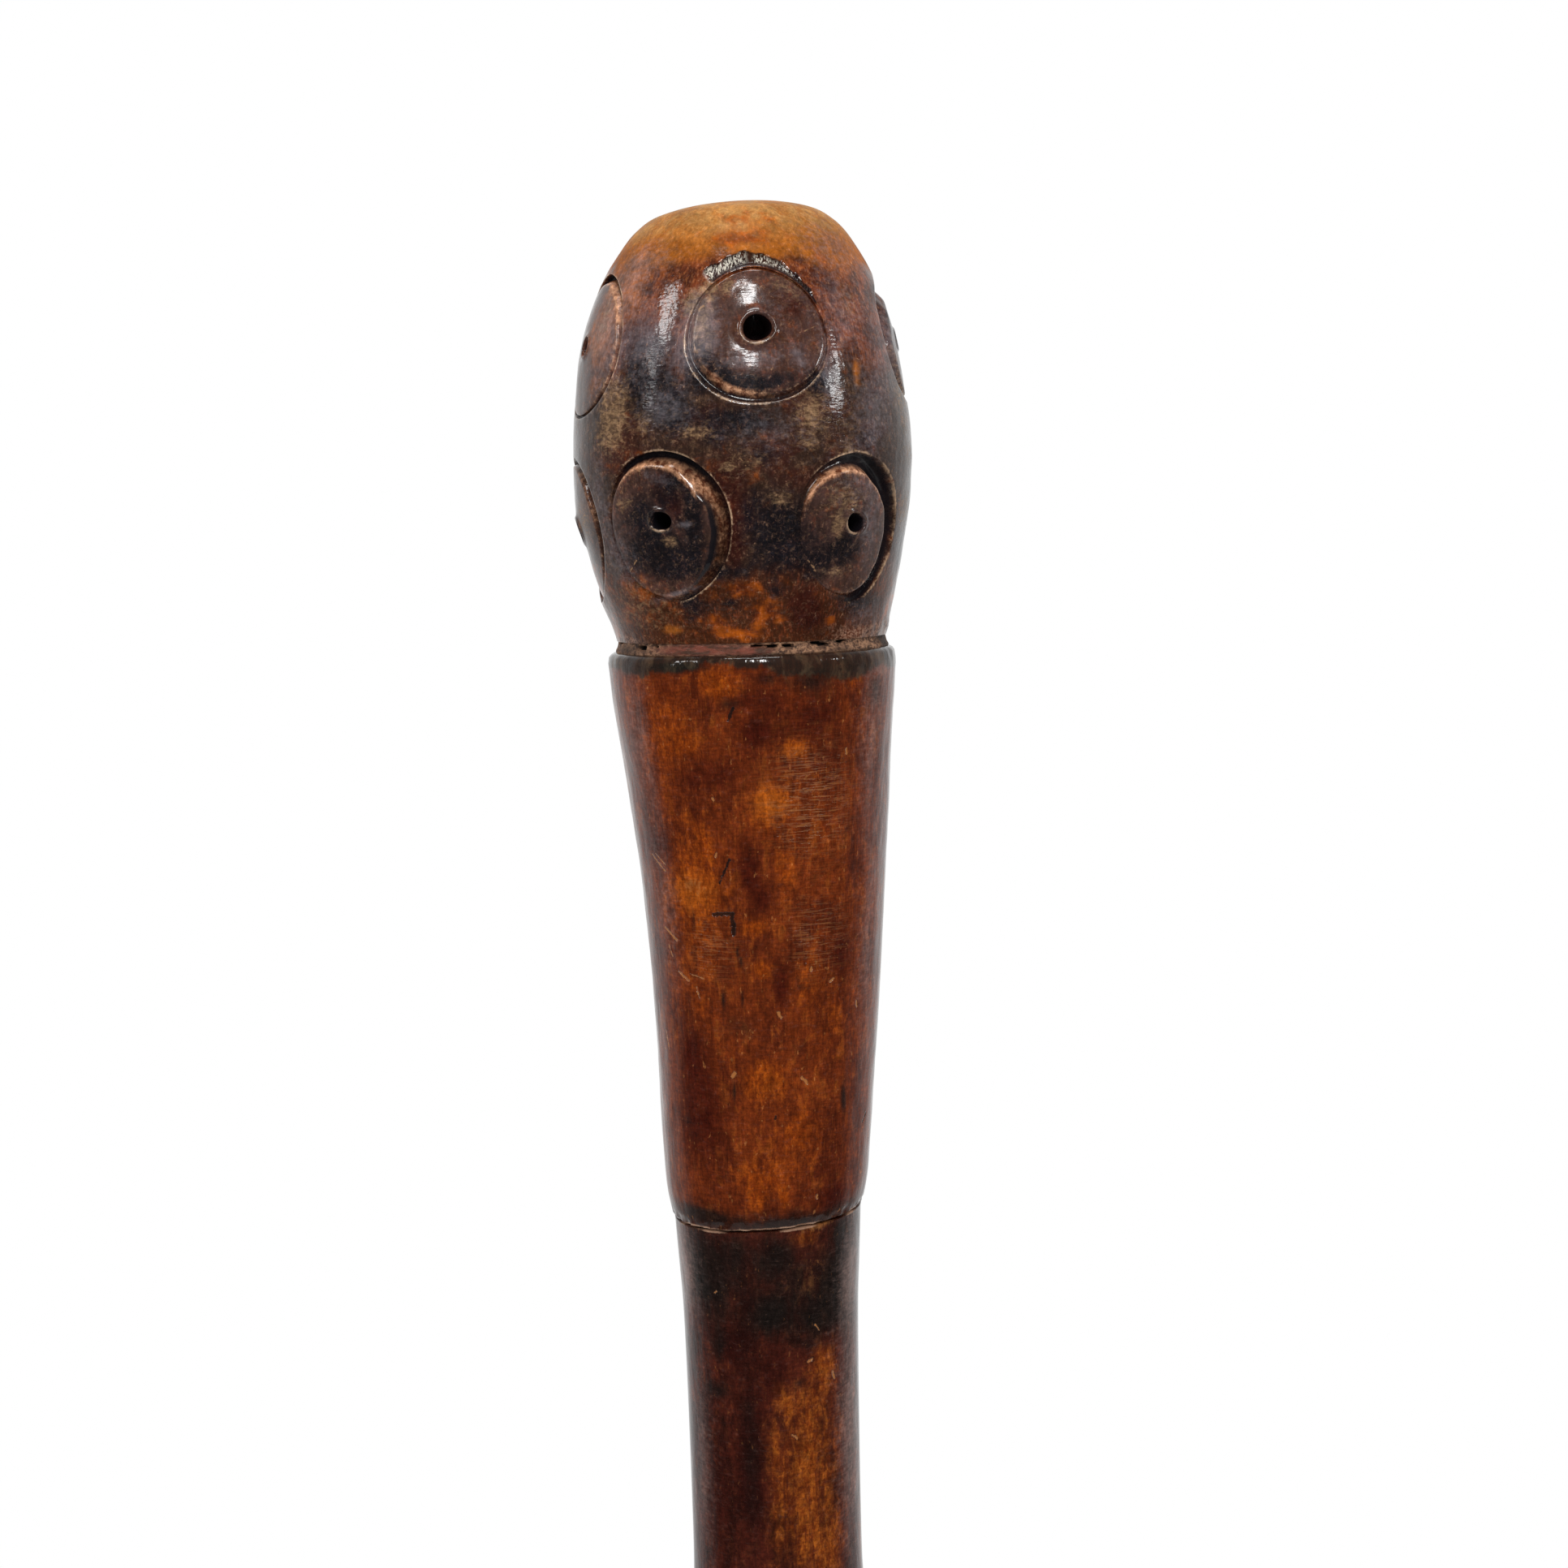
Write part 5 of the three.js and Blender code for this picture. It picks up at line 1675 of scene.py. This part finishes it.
@dataclass(frozen=True)
class RootLacquer:
    """Aged glossy lacquer over the dark, mottled wood of the root."""

    wood: str = "#6b3219"
    wood_dark: str = "#471f10"
    wood_light: str = "#8e5530"
    band: str = "#35231b"
    band_light: str = "#5c4331"
    base: str = "#40200f"
    honey: str = "#b28048"
    honey_deep: str = "#935d29"
    honey_rim: str = "#8c4a0d"
    amber: str = "#9b4a09"
    amber_deep: str = "#561c05"
    maroon: str = "#33100a"
    soot: str = "#121116"
    ochre: str = "#927354"
    ochre_deep: str = "#604937"
    ash: str = "#7d767b"
    # Painted highlight on the chatter's strokes.
    painted_glint: str = "#ddd5c4"
    # The discs' grey-purple is lightened in part as a painted sheen.
    disc: str = "#4e3732"
    # Bare wood of the groove's inner side, lightened as painted light.
    slope: str = "#c9936e"
    # Pale bare wood of the rims, lightened further as a painted highlight.
    bare_lip_and_glint: str = "#c8a686"
    crust: str = "#876450"
    clod: str = "#2c1a12"
    nick: str = "#b08862"

    def dress(self, knob: RootKnob) -> Finish:
        """Makes the finish.

        Args:
            knob: The knob that wears it.

        Returns:
            The material.
        """
        mix = Recipe("root_lacquer")
        mottle = mix.grain(2.2, 2.6, 5, 0.65, 0.6)
        blot = mix.grain(5.5, 5, 4, 0.6, 0.4, 3)
        fibre = mix.grain(0.26, 2.8, 4, 0.65, 0.2, 5)
        fine = mix.grain(0.3, 0.36, 4, 0.75, 0, 9)
        speck = mix.grain(0.9, 1.1, 5, 0.75, 0.3, 12)
        grit = mix.grain(0.5, 0.55, 5, 0.8, 0.5, 17)
        ripple = mix.grain(1.1, 0.3, 2, 0.55, 0.3, 27)
        cloud = mix.grain(1.9, 1.6, 4, 0.54, 0.35, 47)
        stroke = mix.grain(0.95, 0.5, 5, 0.75, 0.6, 37)
        stripes = mix.grain(0.2, 2.4, 2, 0.5, 0.1, 53)
        wood = mix.lay(self.wood_dark, (mix.step(mottle, 0.38, 0.62), self.wood),
                       (mix.step(fibre, 0.5, 0.68, 0, 0.6), self.wood_light),
                       (mix.step(grit, 0.58, 0.7, 0, 0.4), self.wood_light))
        band = mix.lay(self.band, (mix.step(speck, 0.5, 0.68, 0, 0.7), self.band_light),
                       (mix.step(blot, 0.42, 0.6, 0, 0.6), self.maroon))
        based = mix.blend(mix.step(fibre, 0.5, 0.68, 0, 0.7), self.base, self.wood)
        disc = mix.lay(self.disc, (mix.step(mottle, 0.35, 0.65), self.band),
                       (mix.step(speck, 0.52, 0.68, 0, 0.45), self.wood))
        honey = mix.lay(self.honey, (mix.step(mottle, 0.36, 0.64), self.honey_deep),
                        (mix.mark("glow"), self.honey_rim, 0.85))
        topped = mix.torn("honey", mottle, 0.9, 0.42)
        colour = mix.lay(wood, (mix.torn("band", mottle, 1.0, 0.42), band),
                         (mix.torn("base", mottle, 0.8, 0.3), based), (mix.mark("disc"), disc, 0.85),
                         (topped, honey))
        amber = mix.blend(mix.step(cloud, 0.32, 0.66), self.amber_deep, self.amber)
        soot = mix.torn("soot", mottle, 1.1, 0.38)
        soot = mix.math("MULTIPLY", soot, mix.step(grit, 0.4, 0.64, 0.97, 0.84))
        worn = mix.torn("ochre", stroke, 1.8, 0.42)
        worn = mix.math("MULTIPLY", worn, mix.step(fine, 0.32, 0.6, 0.6, 0.88))
        earth = mix.blend(mix.step(stroke, 0.42, 0.6), self.ochre_deep, self.ochre)
        # A pale grey painted sheen and highlight haze, with a torn edge.
        grey_sheen_share = mix.torn("ash", mix.grain(0.8, 0.5, 5, 0.75, 0.3, 43), 1.7, 0.45)
        flecks = mix.step(mix.grain(0.5, 0.6, 3, 0.6, 0, 23), 0.62, 0.72, 0, 0.14)
        colour = mix.lay(colour, (mix.torn("amber", cloud, 1.7, 0.38), amber, 0.94),
                         (mix.torn("maroon", mottle, 1.0, 0.35), self.maroon, 0.88), (soot, self.soot),
                         (worn, earth), (grey_sheen_share, self.ash, 0.42), (flecks, self.ochre))
        # The groove's inner side: bare wood with painted light, palest on its lit side.
        slope = mix.blend(mix.step(speck, 0.36, 0.56), self.wood, self.slope)
        # Painted highlights on the chatter's strokes, over the painted shade of its notches.
        glint_share = mix.math("MULTIPLY", mix.mark("painted_glint"), mix.step(stripes, 0.46, 0.56))
        crust = mix.torn("crust", speck, 1.6, 0.25)
        rough_crust = mix.lay(self.crust, (mix.step(fine, 0.4, 0.6), self.wood_dark),
                              (mix.step(stroke, 0.52, 0.64, 0, 0.8), self.clod))
        # Layers of painted light over the wood: the groove's lit inner side, the rims' highlight, the
        # chatter's shade and highlights; then the crust.
        colour = mix.lay(colour, (mix.torn("slope", grit, 1.3, 0.5), slope, 0.84),
                         (mix.torn("bare_lip_and_glint", grit, 2.0, 0.35), self.bare_lip_and_glint, 0.6),
                         (mix.torn("chatter", fine, 1.0, 0.4), self.soot, 0.85),
                         (glint_share, self.painted_glint, 0.75), (crust, rough_crust))
        colour = mix.vary(colour, (fibre, 0.86, 1.14), (grit, 0.86, 1.14), (speck, 0.78, 1.22),
                          (blot, 0.8, 1.2), (mottle, 0.82, 1.18))
        # Painted shade darkens the grooves, holes and chatter notches to near black.
        cut = mix.mark("cut")
        colour = mix.lay(colour, (mix.step(cut, 0.15, 0.85), self.soot, 0.93),
                         (mix.nicks(knob, True), self.nick, 0.5))
        roughness = mix.step(speck, 0.35, 0.7, 0.34, 0.55)
        roughness = mix.math("MAXIMUM", roughness, mix.math("MULTIPLY", cut, 0.7))
        roughness = mix.math("MAXIMUM", roughness, mix.math("MULTIPLY", crust, 0.75))
        keen = mix.math("MULTIPLY_ADD", mix.mark("disc"), -0.6, 1)
        patterns = ((mix.grain(1.3, 1.6, 2, 0.5, 0, 31), 0.052), (ripple, 0.026),
                    (mix.grain(0.34, 0.8, 2, 0.5, 0, 33), 0.009))
        relief = [(mix.math("MULTIPLY", pattern, keen), height) for pattern, height in patterns]
        relief.append((mix.math("MULTIPLY", stripes, mix.mark("painted_glint")), 0.1))
        bare = mix.math("MAXIMUM", mix.math("MULTIPLY", topped, 0.97), mix.math("MULTIPLY", worn, 0.7))
        coat = mix.math("SUBTRACT", 1.0, bare)
        return mix.finish(colour, roughness, relief, Coat_Weight=coat, Coat_Roughness=0.12,
                          Specular_IOR_Level=0.03)


@dataclass(frozen=True)
class CulmLacquer:
    """Aged glossy lacquer over the stained culm of the grip section or the shaft."""

    name: str
    wood: str
    wood_dark: str
    wood_light: str
    amber: str = "#742d03"
    amber_light: str = "#883d04"
    glow: str = "#a0500f"
    maroon: str = "#370c05"
    ash: str = "#8c7068"
    soot: str = "#12100e"
    ochre: str = "#7a4d28"
    rim: str = "#1b1a16"
    rim_light: str = "#413629"
    dust: str = "#b08c74"
    scratch: str = "#b07440"
    scratched: bool = False
    fibrous: float = 1

    def dress(self, part: PaintedPart) -> Finish:
        """Makes the finish.

        Args:
            part: The culm that wears it.

        Returns:
            The material.
        """
        mix = Recipe(self.name)
        cloud = mix.grain(4.5, 9, 4, 0.6, 0.5, 2)
        mottle = mix.grain(1.7, 3.4, 5, 0.65, 0.5, 4)
        fibre = mix.grain(0.28, 6, 4, 0.6, 0.15, 6)
        vein = mix.grain(0.7, 9, 4, 0.65, 0.5, 8)
        fine = mix.grain(0.3, 0.45, 3, 0.7, 0, 10)
        speck = mix.grain(0.8, 1.4, 5, 0.75, 0.4, 13)
        grit = mix.grain(0.45, 0.7, 5, 0.8, 0.5, 21)
        ripple = mix.grain(1.6, 0.28, 3, 0.6, 0.3, 27)
        wood = mix.lay(self.wood_dark, (mix.step(cloud, 0.36, 0.62), self.wood),
                       (mix.step(mottle, 0.52, 0.7, 0, 0.6), self.wood_light),
                       (mix.step(vein, 0.55, 0.7, 0, 0.55), self.wood_dark),
                       (mix.step(fibre, 0.55, 0.75, 0, 0.5 * self.fibrous), self.wood_light))
        amber = mix.lay(self.amber, (mix.step(speck, 0.4, 0.66), self.amber_light),
                        (mix.step(vein, 0.5, 0.66, 0, 0.55), self.wood))
        # A pale grey painted sheen and highlight haze, with a torn edge.
        grey_sheen_share = mix.torn("ash", mix.grain(1.1, 0.5, 4, 0.7, 0.3, 43), 1.2, 0.48)
        flecks = mix.step(mix.grain(0.5, 0.9, 2, 0.5, 0, 19), 0.67, 0.75, 0, 0.3 * self.fibrous)
        colour = mix.lay(wood, (mix.torn("amber", mottle, 1.3, 0.42), amber, 0.85),
                         (mix.torn("glow", speck, 1.2, 0.5), self.glow, 0.75),
                         (mix.torn("maroon", mottle, 1.1, 0.42), self.maroon, 0.85),
                         (mix.torn("ochre", speck, 1.8, 0.25), self.ochre, 0.7),
                         (mix.torn("soot", mottle, 0.9, 0.42), self.soot, 0.9),
                         (grey_sheen_share, self.ash, 0.5), (flecks, self.scratch))
        spread = 0.11 * self.fibrous
        colour = mix.vary(colour, (fibre, 1 - spread, 1 + spread), (grit, 0.8, 1.22), (speck, 0.76, 1.24),
                          (mottle, 0.84, 1.16), (ripple, 0.84, 1.16), (fine, 0.86, 1.16))
        if self.scratched:
            rim = mix.torn("shoulder", speck, 1.9, 0.3)
            rim_tone = mix.blend(mix.step(mottle, 0.45, 0.65), self.rim, self.rim_light)
            colour = mix.blend(rim, colour, rim_tone, 0.87)
            lines = mix.step(mix.grain(2.2, 0.16, 3, 0.6, 0.2, 61), 0.52, 0.6)
            brushed = mix.math("MULTIPLY", mix.mark("honey"), lines)
            colour = mix.blend(brushed, colour, self.scratch, 0.4)
        seam = mix.torn("seam", speck, 1.0, 0.3)
        colour = mix.blend(seam, colour, self.dust, 0.8)
        if not self.scratched:
            colour = mix.blend(mix.mark("scar"), colour, self.soot, 0.75)
        pale = mix.nicks(part, True)
        dark = mix.nicks(part, False)
        colour = mix.lay(colour, (pale, self.scratch, 0.6), (dark, self.soot, 0.85))
        roughness = mix.step(speck, 0.35, 0.7, 0.34, 0.52)
        roughness = mix.math("MAXIMUM", roughness, mix.math("MULTIPLY", seam, 0.7))
        relief = [(cloud, 0.1), (mix.grain(1.6, 4, 2, 0.5, 0, 31), 0.07), (ripple, 0.008),
                  (mix.grain(0.34, 1.6, 2, 0.5, 0, 33), 0.01), (mix.math("MAXIMUM", pale, dark), -0.12)]
        if self.scratched:
            swell = mix.math("MULTIPLY", mix.grain(1.6, 0.5, 2, 0.5, 0.3, 51), mix.mark("shoulder"))
            relief += [(swell, 0.02), (brushed, -0.03)]
        return mix.finish(colour, roughness, relief, Coat_Weight=1.0, Coat_Roughness=0.09,
                          Specular_IOR_Level=0.03)


@dataclass(frozen=True)
class FillerCrust:
    """Crumbly old filler of glue and wood dust, smooth and red where lacquer still covers it."""

    dust: str = "#a67b5c"
    dark: str = "#4a2e21"
    clod: str = "#2c1a12"
    lacquered: str = "#7e402f"
    soot: str = "#120d0b"

    def dress(self) -> Finish:
        """Makes the finish."""
        mix = Recipe("filler_crust")
        grit = mix.grain(0.5, 0.4, 5, 0.75, 0.3, 3)
        grain = mix.grain(1.8, 0.5, 4, 0.6, 0.3, 7)
        clod = mix.grain(1.5, 0.55, 5, 0.75, 0.6, 15)
        crumb = mix.lay(self.dark, (mix.step(grit, 0.38, 0.6), self.dust),
                        (mix.step(clod, 0.5, 0.62, 0, 0.85), self.clod))
        smooth = mix.blend(mix.step(grain, 0.4, 0.65), self.lacquered, self.dark)
        banded = mix.torn("amber", grain, 0.8, 0.3)
        # The last layer paints shade into the gaps.
        colour = mix.lay(crumb, (banded, smooth, 0.95), (mix.torn("crust", grit, 1.2, 0.3), crumb),
                         (mix.torn("soot", grit, 1.2, 0.3), self.soot, 0.8),
                         (mix.step(mix.mark("cut"), 0.3, 0.8), self.soot))
        roughness = mix.math("MULTIPLY_ADD", banded, -0.4, 0.8)
        return mix.finish(colour, roughness, [(grain, 0.1), (clod, 0.3), (grit, 0.16)], Coat_Weight=0.15,
                          Coat_Roughness=0.2, Specular_IOR_Level=0.4)


@dataclass(frozen=True)
class HandledMetal:
    """Dulled brass or worn iron: tarnish in the hollows, brighter metal where it rubs."""

    name: str
    metal: str
    bright: str
    tarnish: str
    rough: float
    scratched_along: bool = False

    def dress(self) -> Finish:
        """Makes the finish."""
        mix = Recipe(self.name)
        cloud = mix.grain(4.2, 5, 5, 0.6, 0.3, 5)
        pits = mix.grain(0.35, 0.35, 4, 0.7, 0, 11)
        smear = mix.grain(1.1, 0.8, 4, 0.65, 0.2, 25)
        wide, tall = (0.25, 9) if self.scratched_along else (7, 0.12)
        scratches = mix.grain(wide, tall, 3, 0.7, 0.05, 17)
        tarnished = mix.math("MULTIPLY", mix.step(cloud, 0.4, 0.72), mix.step(smear, 0.3, 0.6, 0.45, 1))
        colour = mix.lay(self.metal, (tarnished, self.tarnish),
                         (mix.torn("worn", smear, 1.3, 0.48), self.bright, 0.3),
                         (mix.step(pits, 0.62, 0.75, 0, 0.4), self.tarnish))
        colour = mix.vary(colour, (scratches, 0.9, 1.1), (smear, 0.9, 1.1))
        roughness = mix.math("MULTIPLY_ADD", tarnished, 0.18, self.rough)
        relief = [(cloud, 0.04), (scratches, 0.014), (pits, 0.014)]
        return mix.finish(colour, roughness, relief, Metallic=1.0)


@dataclass(frozen=True)
class BareHardwood:
    """Bare turned hardwood, as the core rod and the plug inside the cane have it."""

    wood: str = "#a9804f"
    vein: str = "#7c5831"

    def dress(self) -> Finish:
        """Makes the finish."""
        mix = Recipe("bare_hardwood")
        vein = mix.grain(0.6, 14, 5, 0.6, 0.4, 3)
        pores = mix.grain(0.15, 1.6, 2, 0.5, 0, 7)
        colour = mix.lay(self.wood, (mix.step(vein, 0.42, 0.62), self.vein),
                         (mix.step(pores, 0.62, 0.74, 0, 0.5), self.vein))
        return mix.finish(colour, 0.7, [(vein, 0.05), (pores, 0.04)], Specular_IOR_Level=0.3)


@dataclass(frozen=True)
class Lamp:
    """A soft lamp: where it hangs round the cane's head, its sizes and how bright it looks."""

    name: str
    azimuth: float
    elevation: float
    wide: float
    tall: float
    bright: float


@dataclass
class Studio:
    """A plain pale floor, a pale backdrop, soft lamps and the camera."""

    view: PhotoView
    aim_height: float = 870
    lamp_distance: float = 1100
    floor_radius: float = 900
    floor_sides: int = 96
    floor_drop: float = 0.4
    floor_glow: float = 0.82
    floor_gleam: float = 0.3
    floor_grey: float = 0.85
    ambient: float = 0.76
    dark_side: float = 0.02
    lamps: tuple = (
        Lamp("left_softbox", -60, 34, 150, 255, 12),
        Lamp("low_left_card", -65, 18, 130, 130, 5),
        Lamp("front_softbox", 8, 34.5, 130, 410, 28),
        Lamp("right_softbox", 70, 18, 190, 90, 17),
        Lamp("overhead_softbox", 5, 80, 520, 260, 7),
    )

    def make_floor(self) -> None:
        """Makes the round floor, pale wherever light or a mirror shows it, with the cane's shadow."""
        mesh = bpy.data.meshes.new("floor")
        shaped = bmesh.new()
        lower = Matrix.Translation((0, 0, -self.floor_drop * MM))
        bmesh.ops.create_circle(shaped, cap_ends=True, segments=self.floor_sides, matrix=lower,
                                radius=self.floor_radius * MM)
        shaped.to_mesh(mesh)
        shaped.free()
        floor = bpy.data.objects.new("floor", mesh)
        bpy.context.scene.collection.objects.link(floor)
        material = bpy.data.materials.new("pale_floor")
        material.use_nodes = True
        nodes = Nodes(material.node_tree)
        camera = nodes.add("ShaderNodeLightPath", {}).outputs["Is Camera Ray"]
        lit = nodes.add("ShaderNodeBsdfDiffuse", {"Color": (*(self.floor_grey,) * 3, 1)})
        bright = nodes.add("ShaderNodeMapRange", {"Value": camera, "To Min": self.floor_gleam})
        glow = nodes.add("ShaderNodeEmission", {"Strength": bright.outputs[0]})
        shadowed = nodes.math("MULTIPLY_ADD", camera, self.floor_glow - 1, self.seen_share(nodes))
        mixed = nodes.add("ShaderNodeMixShader", {0: shadowed, 1: lit.outputs[0], 2: glow.outputs[0]})
        nodes.add("ShaderNodeOutputMaterial", {"Surface": mixed.outputs[0]})
        mesh.materials.append(material)

    def seen_share(self, nodes: Nodes) -> Socket:
        """Adds a share that is one for what the camera, a mirror or glass sees."""
        path = nodes.add("ShaderNodeLightPath", {}).outputs
        share = nodes.math("MAXIMUM", path["Is Camera Ray"], path["Is Glossy Ray"])
        return nodes.math("MAXIMUM", share, path["Is Transmission Ray"])

    def light_world(self) -> None:
        """Surrounds the cane with a pale backdrop, which a gloss sees only behind it, and dim air."""
        world = bpy.data.worlds.new("pale_studio")
        world.use_nodes = True
        nodes = Nodes(world.node_tree)
        camera = nodes.add("ShaderNodeLightPath", {}).outputs["Is Camera Ray"]
        way = nodes.add("ShaderNodeTexCoord", {}).outputs["Generated"]
        depth = nodes.add("ShaderNodeSeparateXYZ", {0: way}).outputs["Y"]
        behind = nodes.step(depth, -0.2, 1.5, self.dark_side)
        mirrored = nodes.add("ShaderNodeMix", {0: camera, 2: behind, 3: 1}).outputs[0]
        strength = nodes.add("ShaderNodeMix", {0: self.seen_share(nodes), 2: self.ambient, 3: mirrored})
        glow = nodes.add("ShaderNodeBackground", {"Color": (1, 1, 1, 1), "Strength": strength.outputs[0]})
        nodes.add("ShaderNodeOutputWorld", {"Surface": glow.outputs[0]})
        bpy.context.scene.world = world

    def hang(self, lamp: Lamp) -> None:
        """Hangs a lamp round the cane's head.

        Args:
            lamp: The lamp.
        """
        data = bpy.data.lights.new(lamp.name, "AREA")
        data.shape = "RECTANGLE"
        data.size, data.size_y = lamp.wide * MM, lamp.tall * MM
        data.energy = lamp.bright * math.pi * data.size * data.size_y
        light = bpy.data.objects.new(lamp.name, data)
        turn, rise = math.radians(lamp.azimuth), math.radians(lamp.elevation)
        back = Vector((math.sin(turn) * math.cos(rise), -math.cos(turn) * math.cos(rise), math.sin(rise)))
        light.location = Vector((0, 0, self.aim_height * MM)) + back * self.lamp_distance * MM
        light.rotation_mode = "QUATERNION"
        light.rotation_quaternion = back.to_track_quat("Z", "Y")
        bpy.context.scene.collection.objects.link(light)

    def set_up(self) -> None:
        """Sets up the floor, the world, the lamps and the camera."""
        self.make_floor()
        self.light_world()
        for lamp in self.lamps:
            self.hang(lamp)
        self.view.make_camera()
        bpy.context.scene.view_settings.view_transform = "Standard"


def fit(piece: Piece, node: str, material: Finish) -> None:
    """Puts a piece in its node's place.

    Args:
        piece: The piece.
        node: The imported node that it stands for.
        material: The finish.
    """
    piece.data.materials.append(material)
    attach(piece, BODY)
    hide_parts(node)
    LOG.info("%s stands for %s: %d faces", piece.name, node, len(piece.data.polygons))


def redress(node: str, material: Finish) -> None:
    """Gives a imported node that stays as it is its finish.

    Args:
        node: The node.
        material: The finish.
    """
    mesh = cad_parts[node].data
    mesh.materials.clear()
    mesh.materials.append(material)
    LOG.info("%s keeps its packed shape", node)


def main() -> None:
    """Builds and dresses the cane from its knob down, and lights it."""
    logging.basicConfig(level=logging.INFO, format="%(message)s")
    stack, view = Stack(), PhotoView()
    knob = RootKnob(stack, view, blotches=KNOB_BLOTCHES, nicks=KNOB_NICKS)
    fit(knob.build(), "carved_knob", RootLacquer().dress(knob))
    filler = NeckFiller(stack, view, blotches=FILLER_BLOTCHES)
    fit(filler.build(), "neck_filler", FillerCrust().dress())
    grip = GripSection(stack, view, blotches=GRIP_BLOTCHES, nicks=GRIP_NICKS)
    grip_finish = CulmLacquer("grip_lacquer", "#64270a", "#4e1c09", "#7c3f12", scratched=True)
    fit(grip.build(), "grip_section", grip_finish.dress(grip))
    shaft = Shaft(stack, view, blotches=SHAFT_BLOTCHES, nicks=SHAFT_NICKS)
    shaft_finish = CulmLacquer("shaft_lacquer", "#461a10", "#2b100a", "#5c2c17", amber="#6c2d08",
                                amber_light="#8c4a12", maroon="#260805", fibrous=0.4)
    fit(shaft.build(), "shaft", shaft_finish.dress(shaft))
    ferrule = Ferrule(stack)
    brass = HandledMetal("dulled_brass", "#b08c49", "#cfae66", "#6b5229", 0.28).dress()
    iron = HandledMetal("worn_iron", "#5d5853", "#8b8782", "#3a2e27", 0.4, True).dress()
    fit(ferrule.build_sleeve(), "ferrule_sleeve", brass)
    fit(ferrule.build_tip(), "ferrule_tip", iron)
    fit(ferrule.build_pin(False), "ferrule_pin_front", brass)
    fit(ferrule.build_pin(True), "ferrule_pin_back", brass)
    hardwood = BareHardwood().dress()
    for node in ("core_dowel", "tip_plug"):
        redress(node, hardwood)
    Studio(view).set_up()


if __name__ == "__main__":
    main()
